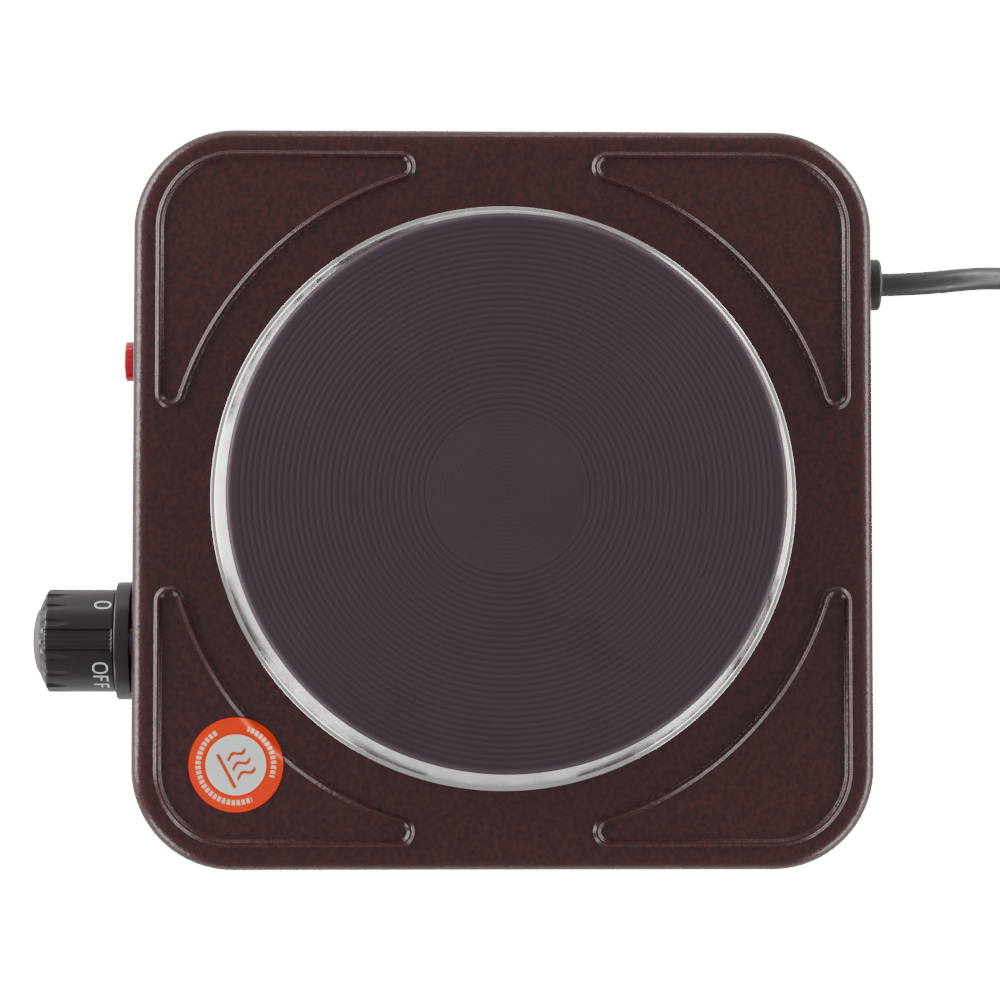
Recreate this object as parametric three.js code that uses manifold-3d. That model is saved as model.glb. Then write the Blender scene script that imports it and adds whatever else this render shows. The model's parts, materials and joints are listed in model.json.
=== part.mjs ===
// Portable single electric hot plate: a pressed-steel housing on four feet, a cast-iron plate clamped in a
// bright trim ring, a thermostat turned by the front knob, a pilot lamp and a mains lead with its plug.
// Millimetres, +Z up. The front, with the knob, faces -Y. The origin lies on the table under the middle of
// the object's own box, without the lead.
import * as THREE from "three";
import { mergeVertices } from "three/addons/utils/BufferGeometryUtils.js";
import Module from "manifold-3d";

const wasm = await Module();
wasm.setup();

// ---------------------------------------------------------------- driving dimensions
const gap = 0.3; // air between two pieces that touch

// housing, pressed from one sheet
const housingSide = 240;
const housingCornerRadius = 33;
const housingHeight = 48;
const housingLift = 10; // lower edge of the walls above the table
const housingEdgeRadius = 5;
const sheet = 1;
const ringSeat = 8.5; // the ring's lip reaches this far past the hole in the top face
const flangeRise = 2.5; // the inner flange lies this far above the lower edge
const flangeOpeningRadius = 110;

// raised bead round each corner field of the top face
const beadWidth = 2.4;
const beadHeight = 1.1;
const beadInset = 8.8; // centre line of the straight legs to the walls
const beadCornerRadius = 24;
const beadTipRadius = 3.7;
const beadTipAlong = 33.6; // centre of a bead's round tips from the housing's middle planes

// cast-iron plate and what holds it
const plateRadius = 90;
const plateRise = 12; // cooking face above the housing's top face
const plateRimThickness = 4;
const plateWebThickness = 7;
const plateRimOverhang = 8; // rim past the skirt
const plateSkirtWall = 3;
const plateBodyThickness = 14;
const plateBossRadius = 11;
const plateEdgeChamfer = 1;
const plateShiftX = -1; // the plate is clamped a little off the ring's centre
const plateShiftY = 0.8;
const ringShow = 4.5; // ring past the plate
const ringClearance = 2.5; // round the plate's skirt
const ringSheet = 0.8;
const elementRadius = 2.6;
const elementInset = 13; // centre line of the outer arc to the inside of the skirt
const elementSpacing = 16;
const studRadius = 4;
const studLength = 38;
const spacerLength = 7.5;
const clampBarThickness = 2;
const clampBarWidth = 24;
const clampBarBearing = 12; // length of each end that bears on the housing
const washerThickness = 1.5;
const nutHeight = 6.5;
const nutAcrossFlats = 13;
const thinNutHeight = 5;
const shieldInset = 12; // shield's edge inside the plate's edge
const shieldRim = 4;
const coverSheet = 0.6;

// control: knob, spindle and thermostat
const knobX = 45.9;
const controlDrop = 24; // knob and lamp axes below the top face
const knobRadius = 16.85;
const knobWall = 1.8;
const knobReach = 33.5; // wall to the tip of the knob's cap
const knobCapInset = 4.35; // cap's edge inside the knob's edge
const knobCapHeight = 4.2;
const knobChannelWidth = 7.5;
const knobChannelDepth = 0.8;
const knobFluteCount = 18;
const knobFluteLength = 9;
const knobFluteDepth = 1.3;
const knobHubRadius = 6.5;
const skirtOverhang = 2.5; // skirt past the knob
const skirtDepth = 4.8;
const skirtWall = 1.5;
const skirtStandOff = 1.2; // wall to the skirt
const spindleRadius = 3;
const bushingRadius = 5;
const thermostatScrewSpacing = 28; // one above and one below the spindle
const thermostatScrewRadius = 1.5;
const stackOffset = 18; // spindle axis to the thermostat's rivet
const stackRadius = 5.5;
const rivetRadius = 1.6;
const leafThickness = 0.5;
const leafWidth = 6;
const armReach = 15; // contact to the spindle's axis
const contactHeight = 1.8;

// pilot lamp
const lampX = -46;
const lampRadius = 6.6;
const lampStemRadius = 4.7;
const lampReach = 4.3;

// mains lead
const cordX = -72.2;
const cordDrop = 24; // lead's axis below the top face
const cordRadius = 3.9;
const bushFlangeRadius = 8.6;
const bushNeckRadius = 6.7;
const bushReach = 5.4;
const bushBodyLength = 22; // tapered part behind the wall
const leadEndX = -70; // the lead reaches its coil here
const coilBehind = 70.6; // rear wall to the near side of the coil
const coilTurnRadius = 40; // centre line of its turns
const coilLayers = 4; // turns lying on each other, the last only a part of one
const coilStagger = 1.5; // a turn lies this far in or out of the one below
const coilSlack = 0.1; // air between turns
const tieThickness = 0.6;
const tieWidth = 4;
const plugRadius = 18.5;
const plugLength = 44;
const plugShoulder = 36; // from the tail to the round face's rear edge
const plugTailRadius = 7;
const pinRadius = 2.4;
const pinLength = 19;
const pinSpacing = 19;

// feet and base
const footInset = 28; // feet and their screws, in from the outside of the walls
const footRadius = 10;
const footTaper = 1;
const screwRadius = 1.75;
const screwHeadRadius = 4;
const screwHeadHeight = 2.5;

// sticker
const stickerRadius = 15.4;
const stickerInset = 34; // its centre, in from the outside of the walls
const stickerThickness = 0.25;

// ---------------------------------------------------------------- levels that follow from them
const housingTop = housingLift + housingHeight;
const halfSide = housingSide / 2;
const footOffset = halfSide - footInset; // from both middle planes
const stickerOffset = halfSide - stickerInset;
const controlZ = housingTop - controlDrop;
const cordZ = housingTop - cordDrop;
const plateTop = housingTop + plateRise;
const ringRadius = plateRadius + ringShow;
const plateHoleRadius = ringRadius - ringSeat;
const plateSkirtRadius = plateRadius - plateRimOverhang;
const ringInnerRadius = plateSkirtRadius + ringClearance;
const elementOuterRadius = plateSkirtRadius - plateSkirtWall - elementInset;
const elementInnerRadius = elementOuterRadius - elementSpacing;
const shieldRadius = plateRadius - shieldInset;
const knobCapRadius = knobRadius - knobCapInset;
const skirtRadius = knobRadius + skirtOverhang;
const coilPitch = 2 * cordRadius + coilSlack;
const rimBottom = plateTop - plateRimThickness;
const webBottom = plateTop - plateWebThickness;
const plateBottom = plateTop - plateBodyThickness;
const coverTop = plateBottom - gap;
const spacerTop = coverTop - coverSheet - gap;
const clampBarTop = spacerTop - spacerLength - gap;
const washerTop = clampBarTop - clampBarThickness - gap;
const nutTop = washerTop - washerThickness - gap;
const shieldTop = nutTop - nutHeight - gap;
const thinNutTop = shieldTop - coverSheet - gap;
const flangeBottom = housingLift + flangeRise;
const baseTop = flangeBottom - gap;
const floorInside = baseTop + gap; // where pieces that stand on the base plate begin
const housingY = (knobReach - bushReach) / 2; // brings the origin under the middle of the object's box

// ---------------------------------------------------------------- finishes
const finish = (color, roughness, metalness) =>
  new THREE.MeshStandardMaterial({ color, roughness, metalness });
const hammertone = finish(0x43292c, 0.35, 0.3);
const castIron = finish(0x3c3238, 0.6, 0.4);
const brightSteel = finish(0xd8d6d2, 0.2, 1);
const zincSteel = finish(0xa9abad, 0.4, 1);
const brass = finish(0xb59a55, 0.35, 1);
const blackPlastic = finish(0x17151a, 0.3, 0);
const greyPlastic = finish(0x55585a, 0.45, 0);
const redPlastic = finish(0xc0151a, 0.2, 0);
const rubber = finish(0x1c1c1c, 0.8, 0);
const ceramic = finish(0xe6e0d2, 0.6, 0);
const copperNickel = finish(0xb87850, 0.35, 1);
const stickerOrange = finish(0xf05a1a, 0.5, 0);
const liveBrown = finish(0x5b3a22, 0.5, 0);
const neutralBlue = finish(0x2b5fa8, 0.5, 0);
const earthGreen = finish(0x7ba22b, 0.5, 0);

// ---------------------------------------------------------------- solids
// A closed geometry as a solid for joining and cutting.
function solid(geometry) {
  const bare = new THREE.BufferGeometry();
  const loose = geometry.index ? geometry.toNonIndexed() : geometry;
  bare.setAttribute("position", loose.getAttribute("position"));
  const welded = mergeVertices(bare, 1e-4);
  const corners = [];
  for (let i = 0; i < welded.index.count; i += 3) {
    const [a, b, c] = [0, 1, 2].map((k) => welded.index.getX(i + k));
    if (a !== b && b !== c && c !== a) corners.push(a, b, c);
  }
  return new wasm.Manifold(
    new wasm.Mesh({
      numProp: 3,
      vertProperties: welded.attributes.position.array,
      triVerts: new Uint32Array(corners),
    }),
  );
}

// A solid back as a geometry.
function shapeOf(made) {
  const mesh = made.getMesh();
  const places = new Float32Array(mesh.numVert * 3);
  for (let i = 0; i < mesh.numVert; i++) {
    places.set(mesh.vertProperties.subarray(i * mesh.numProp, i * mesh.numProp + 3), i * 3);
  }
  const geometry = new THREE.BufferGeometry();
  geometry.setAttribute("position", new THREE.BufferAttribute(places, 3));
  geometry.setIndex(new THREE.BufferAttribute(mesh.triVerts, 1));
  geometry.computeVertexNormals();
  return geometry;
}

const cut = (body, ...tools) =>
  shapeOf(tools.reduce((left, tool) => left.subtract(solid(tool)), solid(body)));
const join = (...bodies) =>
  shapeOf(bodies.slice(1).reduce((whole, body) => whole.add(solid(body)), solid(bodies[0])));
const overlapOf = (a, b) => shapeOf(solid(a).intersect(solid(b)));

// A profile of [radius, height] points turned about the Y axis.
function turnedY(profile, segments = 32) {
  const points = profile.map(([r, y]) => new THREE.Vector2(r, y));
  if (profile[0][0] > 0) points.push(points[0].clone());
  if (THREE.ShapeUtils.area(points) < 0) points.reverse();
  return new THREE.LatheGeometry(points, segments);
}

// The same, turned about the Z axis.
const turnedZ = (profile, segments) => turnedY(profile, segments).rotateX(Math.PI / 2);

const disc = (radius, z0, z1, segments = 32) =>
  turnedZ([[0, z0], [radius, z0], [radius, z1], [0, z1]], segments);
const washer = (outer, inner, z0, z1, segments = 32) =>
  turnedZ([[inner, z0], [outer, z0], [outer, z1], [inner, z1]], segments);
const rod = (radius, y0, y1, segments = 24) =>
  turnedY([[0, y0], [radius, y0], [radius, y1], [0, y1]], segments);
const sleeve = (outer, inner, y0, y1, segments = 24) =>
  turnedY([[inner, y0], [outer, y0], [outer, y1], [inner, y1]], segments);

// A box between two corners.
function block(x0, x1, y0, y1, z0, z1) {
  const box = new THREE.BoxGeometry(x1 - x0, y1 - y0, z1 - z0);
  return box.translate((x0 + x1) / 2, (y0 + y1) / 2, (z0 + z1) / 2);
}

// A flat outline given thickness between two heights.
function slab(outline, z0, z1, curveSegments = 4) {
  const options = { depth: z1 - z0, bevelEnabled: false, curveSegments };
  return new THREE.ExtrudeGeometry(outline, options).translate(0, 0, z0);
}

// Stands a slab up: its outline's first direction runs along Y, its second along Z, its thickness along X.
function upright(geometry) {
  const [alongX, alongY, alongZ] = [0, 1, 2].map((axis) => new THREE.Vector3().setComponent(axis, 1));
  return geometry.applyMatrix4(new THREE.Matrix4().makeBasis(alongY, alongZ, alongX));
}

// A square outline with round corners, centred on the origin.
function roundedSquare(side, radius) {
  const reach = side / 2 - radius;
  const outline = new THREE.Shape();
  outline.absarc(reach, reach, radius, 0, Math.PI / 2);
  outline.absarc(-reach, reach, radius, Math.PI / 2, Math.PI);
  outline.absarc(-reach, -reach, radius, Math.PI, Math.PI * 1.5);
  outline.absarc(reach, -reach, radius, Math.PI * 1.5, Math.PI * 2);
  outline.closePath();
  return outline;
}

// A round bar along a curve.
function tube(points, radius, sides, steps) {
  const curve = new THREE.CatmullRomCurve3(points.map((p) => new THREE.Vector3(...p)), false, "centripetal");
  const section = new THREE.Shape();
  section.absarc(0, 0, radius, 0, Math.PI * 2);
  return new THREE.ExtrudeGeometry(section, {
    steps,
    curveSegments: sides / 2,
    bevelEnabled: false,
    extrudePath: curve,
  });
}

const hotPlateBurner = new THREE.Group();
const burner = new THREE.Group(); // everything is placed from the middle of the housing
burner.position.y = housingY;
hotPlateBurner.add(burner);

function piece(name, geometry, material, x = 0, y = 0, z = 0, parent = burner) {
  const mesh = new THREE.Mesh(geometry, material);
  mesh.name = name;
  mesh.position.set(x, y, z);
  parent.add(mesh);
  return mesh;
}

const fourCorners = [[1, 1], [-1, 1], [-1, -1], [1, -1]];

// ---------------------------------------------------------------- housing
// The closed outline at a distance from the bead's centre line, for the corner towards +X +Y: two straight
// legs, the corner between them, a round tip at each end, and the arc that follows the plate.
function beadOutline(grow, Outline) {
  const leg = halfSide - beadInset + grow;
  const corner = beadCornerRadius + grow;
  const tip = beadTipRadius + grow;
  const arc = Math.hypot(leg - tip, beadTipAlong) - tip;
  const tipAngle = Math.atan2(beadTipAlong, leg - tip);
  const outline = new Outline();
  outline.absarc(leg - corner, leg - corner, corner, 0, Math.PI / 2);
  outline.absarc(beadTipAlong, leg - tip, tip, Math.PI / 2, Math.PI * 1.5 - tipAngle);
  outline.absarc(0, 0, arc, Math.PI / 2 - tipAngle, tipAngle, true);
  outline.absarc(leg - tip, beadTipAlong, tip, Math.PI + tipAngle, Math.PI * 2);
  outline.closePath();
  return outline;
}

// One bead, standing on the top face and sunk a little into it so that the two join; swell thickens it.
function bead(turns, swell = 0) {
  const shoulder = 0.5;
  const sunk = 0.5;
  const band = beadOutline(beadWidth / 2 + swell, THREE.Shape);
  band.holes.push(beadOutline(-beadWidth / 2 - swell, THREE.Path));
  const geometry = new THREE.ExtrudeGeometry(band, {
    depth: beadHeight + swell + sunk - shoulder,
    bevelThickness: shoulder,
    bevelSize: shoulder,
    bevelOffset: -shoulder,
    bevelSegments: 1,
    curveSegments: 3,
  });
  geometry.translate(0, 0, housingTop - sunk);
  return geometry.rotateZ((turns * Math.PI) / 2);
}

// A block with round upright corners and a rounded upper edge.
function filletedBlock(side, corner, bottom, top, edge) {
  const geometry = new THREE.ExtrudeGeometry(roundedSquare(side, corner), {
    depth: top - bottom - edge,
    bevelThickness: edge,
    bevelSize: edge,
    bevelOffset: -edge,
    bevelSegments: 3,
    curveSegments: 4,
  });
  geometry.translate(0, 0, bottom);
  return cut(geometry, block(-side, side, -side, side, bottom - 2 * edge, bottom));
}

function housingShell() {
  const outside = filletedBlock(housingSide, housingCornerRadius, housingLift, housingTop, housingEdgeRadius);
  const inside = filletedBlock(
    housingSide - 2 * sheet,
    housingCornerRadius - sheet,
    flangeBottom + sheet,
    housingTop - sheet,
    housingEdgeRadius - sheet,
  );
  const below = roundedSquare(housingSide - 2 * sheet, housingCornerRadius - sheet);
  let shell = cut(
    outside,
    inside,
    slab(below, housingLift - 1, flangeBottom),
    disc(flangeOpeningRadius, housingLift, flangeBottom + 2 * sheet, 40),
    disc(plateHoleRadius, housingTop - 2 * sheet, housingTop + sheet, 48),
  );
  shell = join(shell, ...fourCorners.map((_, turns) => bead(turns)));
  const throughFront = (radius, x, z) => rod(radius, -halfSide - 1, -halfSide + 2, 16).translate(x, 0, z);
  const throughRear = rod(bushNeckRadius + gap, halfSide - 2, halfSide + 1).translate(cordX, 0, cordZ);
  const screwHoles = fourCorners.map(([sx, sy]) =>
    disc(screwRadius + gap, flangeBottom - 1, flangeBottom + 2 * sheet, 12).translate(
      sx * footOffset,
      sy * footOffset,
      0,
    ),
  );
  return cut(
    shell,
    throughFront(bushingRadius + gap, knobX, controlZ),
    throughFront(thermostatScrewRadius + gap, knobX, controlZ - thermostatScrewSpacing / 2),
    throughFront(thermostatScrewRadius + gap, knobX, controlZ + thermostatScrewSpacing / 2),
    throughFront(lampStemRadius + gap, lampX, controlZ),
    throughRear,
    ...screwHoles,
  );
}

piece("housing_shell", housingShell(), hammertone);

// ---------------------------------------------------------------- base plate and feet
function basePlate() {
  const slotLength = 40;
  const slotWidth = 5.6;
  const slotPitch = 9;
  const slotsPerBank = 6;
  const bankOffset = 32;
  const clearance = 0.5;
  const side = housingSide - 2 * sheet - 2 * clearance;
  const plate = roundedSquare(side, housingCornerRadius - sheet - clearance);
  for (const bank of [-1, 1]) {
    for (let i = 0; i < slotsPerBank; i++) {
      const x = bank * bankOffset;
      const y = (i - (slotsPerBank - 1) / 2) * slotPitch;
      const half = (slotLength - slotWidth) / 2;
      const slot = new THREE.Path();
      slot.absarc(x + half, y, slotWidth / 2, -Math.PI / 2, Math.PI / 2);
      slot.absarc(x - half, y, slotWidth / 2, Math.PI / 2, Math.PI * 1.5);
      slot.closePath();
      plate.holes.push(slot);
    }
  }
  const holes = fourCorners.map(([sx, sy]) => [sx * footOffset, sy * footOffset, screwRadius + gap]);
  holes.push([earthScrewX, earthScrewY, screwRadius + gap]);
  for (const [x, y, radius] of holes) {
    const hole = new THREE.Path();
    hole.absarc(x, y, radius, 0, Math.PI * 2);
    plate.holes.push(hole);
  }
  return slab(plate, baseTop - sheet, baseTop, 3);
}

const earthScrewX = -30;
const earthScrewY = 92;
piece("base_plate", basePlate(), zincSteel);

const footTop = baseTop - sheet - gap;
const footScrewRecess = 4; // the head lies this far up inside the foot

function foot() {
  return turnedZ([
    [screwRadius + gap, footScrewRecess],
    [screwHeadRadius + gap, footScrewRecess],
    [screwHeadRadius + gap, 0],
    [footRadius - footTaper, 0],
    [footRadius, footTop],
    [screwRadius + gap, footTop],
  ], 16);
}

// A pan-head screw pointing up, its head's underside at a height.
function screwUp(headTop, length) {
  const headBottom = headTop - screwHeadHeight;
  return turnedZ([
    [0, headBottom],
    [screwHeadRadius * 0.7, headBottom],
    [screwHeadRadius, headBottom + screwHeadHeight * 0.6],
    [screwHeadRadius, headTop],
    [screwRadius, headTop],
    [screwRadius, headTop + length],
    [0, headTop + length],
  ], 12);
}

fourCorners.forEach(([sx, sy], i) => {
  const screwLength = flangeBottom + sheet + 3 - footScrewRecess;
  const screw = screwUp(footScrewRecess - gap, screwLength);
  piece("foot_" + (i + 1), foot(), rubber, sx * footOffset, sy * footOffset, 0);
  piece("foot_screw_" + (i + 1), screw, zincSteel, sx * footOffset, sy * footOffset, 0);
});

// ---------------------------------------------------------------- hot plate
const plateAssembly = new THREE.Group(); // shares the plate's small shift
plateAssembly.position.set(plateShiftX, plateShiftY, 0);
burner.add(plateAssembly);
const onPlate = (name, geometry, material) => piece(name, geometry, material, 0, 0, 0, plateAssembly);

const studTop = webBottom + 2; // the stud is let into the plate's boss
const studHoleRadius = studRadius + gap;

const hotPlate = turnedZ([
  [0, plateTop],
  [plateRadius - plateEdgeChamfer, plateTop],
  [plateRadius, plateTop - plateEdgeChamfer],
  [plateRadius, rimBottom],
  [plateSkirtRadius, rimBottom],
  [plateSkirtRadius, plateBottom],
  [plateSkirtRadius - plateSkirtWall, plateBottom],
  [plateSkirtRadius - plateSkirtWall, webBottom],
  [plateBossRadius, webBottom],
  [plateBossRadius, plateBottom],
  [studHoleRadius, plateBottom],
  [studHoleRadius, studTop + gap],
  [0, studTop + gap],
], 48);
onPlate("hot_plate", hotPlate, castIron);

// The bright ring: a lip on the housing, a slope, and a ledge under the plate's rim.
function trimRing() {
  const lip = housingTop + gap;
  const ledge = rimBottom - gap;
  const slopeTop = plateRadius - 2;
  const slopeFoot = ringRadius - 1.3;
  return turnedZ([
    [ringRadius, lip],
    [ringRadius, lip + ringSheet],
    [slopeFoot, lip + ringSheet * 1.4],
    [slopeTop, ledge - 0.5],
    [slopeTop - 1.2, ledge],
    [ringInnerRadius, ledge],
    [ringInnerRadius, ledge - ringSheet],
    [slopeTop - 1.5, ledge - ringSheet],
    [slopeTop - 0.7, ledge - ringSheet * 1.4],
    [slopeFoot - 0.6, lip],
  ], 48);
}
piece("trim_ring", trimRing(), brightSteel);

// A tube bent into two nearly full arcs joined by a U-turn, both ends turned down to the terminals.
function elementRoute() {
  const first = elementEndAngle;
  const sweep = Math.PI * 1.72;
  const z = webBottom - gap - elementRadius;
  const arcSteps = 22;
  const at = (radius, angle, height) => [radius * Math.cos(angle), radius * Math.sin(angle), height];
  const turnedDown = (radius) => [
    at(radius, first, elementEndZ),
    at(radius, first, coverTop - 5),
    at(radius, first, coverTop),
    at(radius, first + 2 / radius, z - 1.4),
    at(radius, first + 6 / radius, z),
  ];
  const route = turnedDown(elementOuterRadius);
  for (let i = 1; i <= arcSteps; i++) route.push(at(elementOuterRadius, first + (sweep * i) / arcSteps, z));
  const turnAngle = first + sweep + 0.13;
  route.push(at((elementOuterRadius + elementInnerRadius) / 2, turnAngle, z));
  for (let i = arcSteps; i >= 1; i--) route.push(at(elementInnerRadius, first + (sweep * i) / arcSteps, z));
  return route.concat(turnedDown(elementInnerRadius).reverse());
}

const elementEndZ = coverTop - 12;
const elementEndAngle = -Math.PI * 0.36;
onPlate("heating_element", tube(elementRoute(), elementRadius, 6, 88), zincSteel);

const elementEnds = [elementOuterRadius, elementInnerRadius].map((radius) => {
  return [radius * Math.cos(elementEndAngle), radius * Math.sin(elementEndAngle)];
});

function elementCover() {
  const plate = washer(plateSkirtRadius - 1, studHoleRadius, coverTop - coverSheet, coverTop, 40);
  const passages = elementEnds.map(([x, y]) =>
    disc(elementRadius + 1.2, coverTop - 2, coverTop + 1, 16).translate(x, y, 0),
  );
  return cut(plate, ...passages);
}
onPlate("element_cover", elementCover(), zincSteel);

// A ceramic sleeve round each end of the element, under the cover.
elementEnds.forEach(([x, y], i) => {
  const top = coverTop - coverSheet - gap;
  const bead = washer(elementRadius + 2.2, elementRadius + 2 * gap, top - 8, top, 20).translate(x, y, 0);
  onPlate("element_insulator_" + (i + 1), bead, ceramic);
});

onPlate("clamp_stud", disc(studRadius, studTop - studLength, studTop, 16), zincSteel);
onPlate("stud_spacer", washer(7, studHoleRadius, clampBarTop + gap, spacerTop, 20), zincSteel);

// The bar bridges the hole in the housing; its two raised ends bear on the underside of the top face.
function clampBar() {
  const endTop = housingTop - sheet - gap;
  const outer = plateHoleRadius + clampBarBearing;
  const bearing = plateHoleRadius + 1;
  const bend = plateHoleRadius - 9;
  const thick = clampBarThickness;
  const low = clampBarTop - thick;
  const side = new THREE.Shape();
  side.moveTo(-outer, endTop);
  side.lineTo(-bearing, endTop);
  side.lineTo(-bend, clampBarTop);
  side.lineTo(bend, clampBarTop);
  side.lineTo(bearing, endTop);
  side.lineTo(outer, endTop);
  side.lineTo(outer, endTop - thick);
  side.lineTo(bearing + 1, endTop - thick);
  side.lineTo(bend + 1, low);
  side.lineTo(-bend - 1, low);
  side.lineTo(-bearing - 1, endTop - thick);
  side.lineTo(-outer, endTop - thick);
  side.closePath();
  const bar = slab(side, -clampBarWidth / 2, clampBarWidth / 2).rotateX(Math.PI / 2);
  return cut(bar, disc(studHoleRadius, low - 1, clampBarTop + 1, 20));
}
onPlate("clamp_bar", clampBar(), zincSteel);

onPlate("clamp_washer", washer(8, studHoleRadius, washerTop - washerThickness, washerTop, 24), zincSteel);

function hexNut(top, height) {
  const outline = new THREE.Shape();
  const reach = nutAcrossFlats / Math.sqrt(3);
  for (let i = 0; i < 6; i++) {
    const angle = (i * Math.PI) / 3;
    const place = [reach * Math.cos(angle), reach * Math.sin(angle)];
    if (i === 0) outline.moveTo(...place);
    else outline.lineTo(...place);
  }
  outline.closePath();
  const bore = new THREE.Path();
  bore.absarc(0, 0, studHoleRadius, 0, Math.PI * 2);
  outline.holes.push(bore);
  return slab(outline, top - height, top, 8);
}
onPlate("clamp_nut", hexNut(nutTop, nutHeight), zincSteel);
onPlate("shield_nut", hexNut(thinNutTop, thinNutHeight), zincSteel);

// The heat shield keeps the wiring and the base cool; its rim is turned up.
const heatShield = turnedZ([
  [studHoleRadius, shieldTop - coverSheet],
  [shieldRadius, shieldTop - coverSheet],
  [shieldRadius, shieldTop + shieldRim],
  [shieldRadius - coverSheet, shieldTop + shieldRim],
  [shieldRadius - coverSheet, shieldTop],
  [studHoleRadius, shieldTop],
], 40);
onPlate("heat_shield", heatShield, brightSteel);

// ---------------------------------------------------------------- knob
// Everything here turns about the spindle's axis and is placed from the outside of the front wall.
const control = new THREE.Group();
control.position.set(knobX, -halfSide, controlZ);
burner.add(control);
const onControl = (name, geometry, material) => piece(name, geometry, material, 0, 0, 0, control);

const skirtBack = -skirtStandOff;
const skirtFront = skirtBack - skirtDepth;
const knobBack = skirtFront - gap;
const capSeat = -knobReach + knobCapHeight; // where the cap sits in the knob's front
const knobFront = capSeat - 0.9;
const knobShoulder = 1.8; // length of the sloping front edge
const spindleFront = knobFront + 8;
const hubBack = -4;
const bushingFront = -2.2;

function knobBody() {
  const turned = turnedY([
    [0, capSeat + gap],
    [knobCapRadius + gap, capSeat + gap],
    [knobCapRadius + gap, knobFront],
    [knobCapRadius + 1, knobFront],
    [knobRadius, knobFront + knobShoulder],
    [knobRadius, knobBack],
    [knobRadius - knobWall, knobBack],
    [knobRadius - knobWall, capSeat + 3],
    [knobHubRadius, capSeat + 3],
    [knobHubRadius, hubBack],
    [spindleRadius + gap, hubBack],
    [spindleRadius + gap, spindleFront - gap],
    [0, spindleFront - gap],
  ], 30);
  const channelFloor = knobRadius - knobChannelDepth;
  const half = knobChannelWidth / 2;
  const channel = block(-half, half, knobFront - 1, knobBack - 1, channelFloor, knobRadius + 1);
  const wedge = new THREE.Shape();
  wedge.moveTo(knobFront - 1, knobRadius - knobFluteDepth);
  wedge.lineTo(knobFront + knobFluteLength, knobRadius + 0.2);
  wedge.lineTo(knobFront - 1, knobRadius + 2);
  wedge.closePath();
  const flute = upright(slab(wedge, -1, 1));
  const flutes = [];
  for (let i = 1; i < knobFluteCount; i++) {
    flutes.push(flute.clone().rotateY((i * 2 * Math.PI) / knobFluteCount));
  }
  return cut(turned, channel, ...flutes);
}
onControl("knob_body", knobBody(), blackPlastic);

const knobSkirt = turnedY([
  [skirtRadius, skirtBack],
  [skirtRadius, skirtFront + 0.4],
  [skirtRadius - 0.4, skirtFront],
  [knobHubRadius + gap, skirtFront],
  [knobHubRadius + gap, skirtFront + skirtWall],
  [skirtRadius - skirtWall, skirtFront + skirtWall],
  [skirtRadius - skirtWall, skirtBack],
], 36);
onControl("knob_skirt", knobSkirt, blackPlastic);

const capRim = 1;
const capProfile = [[0, capSeat], [knobCapRadius, capSeat], [knobCapRadius, capSeat - capRim]];
for (let i = 1; i <= 5; i++) {
  const angle = (i / 5) * (Math.PI / 2);
  const rise = (knobCapHeight - capRim) * Math.sin(angle);
  capProfile.push([knobCapRadius * Math.cos(angle), capSeat - capRim - rise]);
}
capProfile[capProfile.length - 1][0] = 0;
onControl("knob_cap", turnedY(capProfile, 28), greyPlastic);


// ---------------------------------------------------------------- spindle and thermostat
const frameThickness = 1.2;
const frameFront = sheet + gap;
const bushingBack = 10;
const spindleBack = bushingBack + 2;
const armLevel = spindleBack + gap;
const insulatorLength = 4.9;
const contactLevel = armLevel + leafThickness + insulatorLength + 2 * gap;
const bimetalLevel = contactLevel + leafThickness + insulatorLength + 2 * gap;
const bimetalThickness = 0.8;
const rivetHead = 1.5;
const hingeX = stackOffset - stackRadius - gap;
const tabEnd = stackOffset + 12;
const leafEnd = -armReach - 2;

const flatDepth = 1;
const spindleFlat = block(
  -spindleRadius,
  spindleRadius,
  spindleFront - 1,
  hubBack - 2,
  spindleRadius - flatDepth,
  spindleRadius + 1,
);
const spindle = cut(rod(spindleRadius, spindleFront, spindleBack), spindleFlat);
onControl("thermostat_spindle", spindle, zincSteel);

const frameHoles = [
  rod(bushingRadius + gap, 0, 5),
  rod(thermostatScrewRadius + gap, 0, 5, 16).translate(0, 0, thermostatScrewSpacing / 2),
  rod(thermostatScrewRadius + gap, 0, 5, 16).translate(0, 0, -thermostatScrewSpacing / 2),
  rod(rivetRadius + gap, 0, 5, 16).translate(stackOffset, 0, 0),
];
const frameReachZ = thermostatScrewSpacing / 2 + 3;
const framePlate = block(
  -bushingRadius - 4,
  stackOffset + 7,
  frameFront,
  frameFront + frameThickness,
  -frameReachZ,
  frameReachZ,
);
onControl("thermostat_frame", cut(framePlate, ...frameHoles), zincSteel);

const collarFront = frameFront + frameThickness + gap;
const bushing = turnedY([
  [spindleRadius + gap, bushingFront],
  [bushingRadius, bushingFront],
  [bushingRadius, collarFront],
  [bushingRadius + 2.5, collarFront],
  [bushingRadius + 2.5, collarFront + 2.7],
  [bushingRadius, collarFront + 2.7],
  [bushingRadius, bushingBack],
  [spindleRadius + gap, bushingBack],
], 24);
onControl("thermostat_bushing", bushing, brass);

// Ceramic washers, leaves and the bimetal are threaded on one rivet beside the spindle.
const insulatorSpans = [
  [collarFront, armLevel - gap],
  [armLevel + leafThickness + gap, contactLevel - gap],
  [contactLevel + leafThickness + gap, bimetalLevel - gap],
];
insulatorSpans.forEach(([front, back], i) => {
  const bead = sleeve(stackRadius, rivetRadius + gap, front, back, 20).translate(stackOffset, 0, 0);
  onControl("thermostat_insulator_" + (i + 1), bead, ceramic);
});

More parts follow.
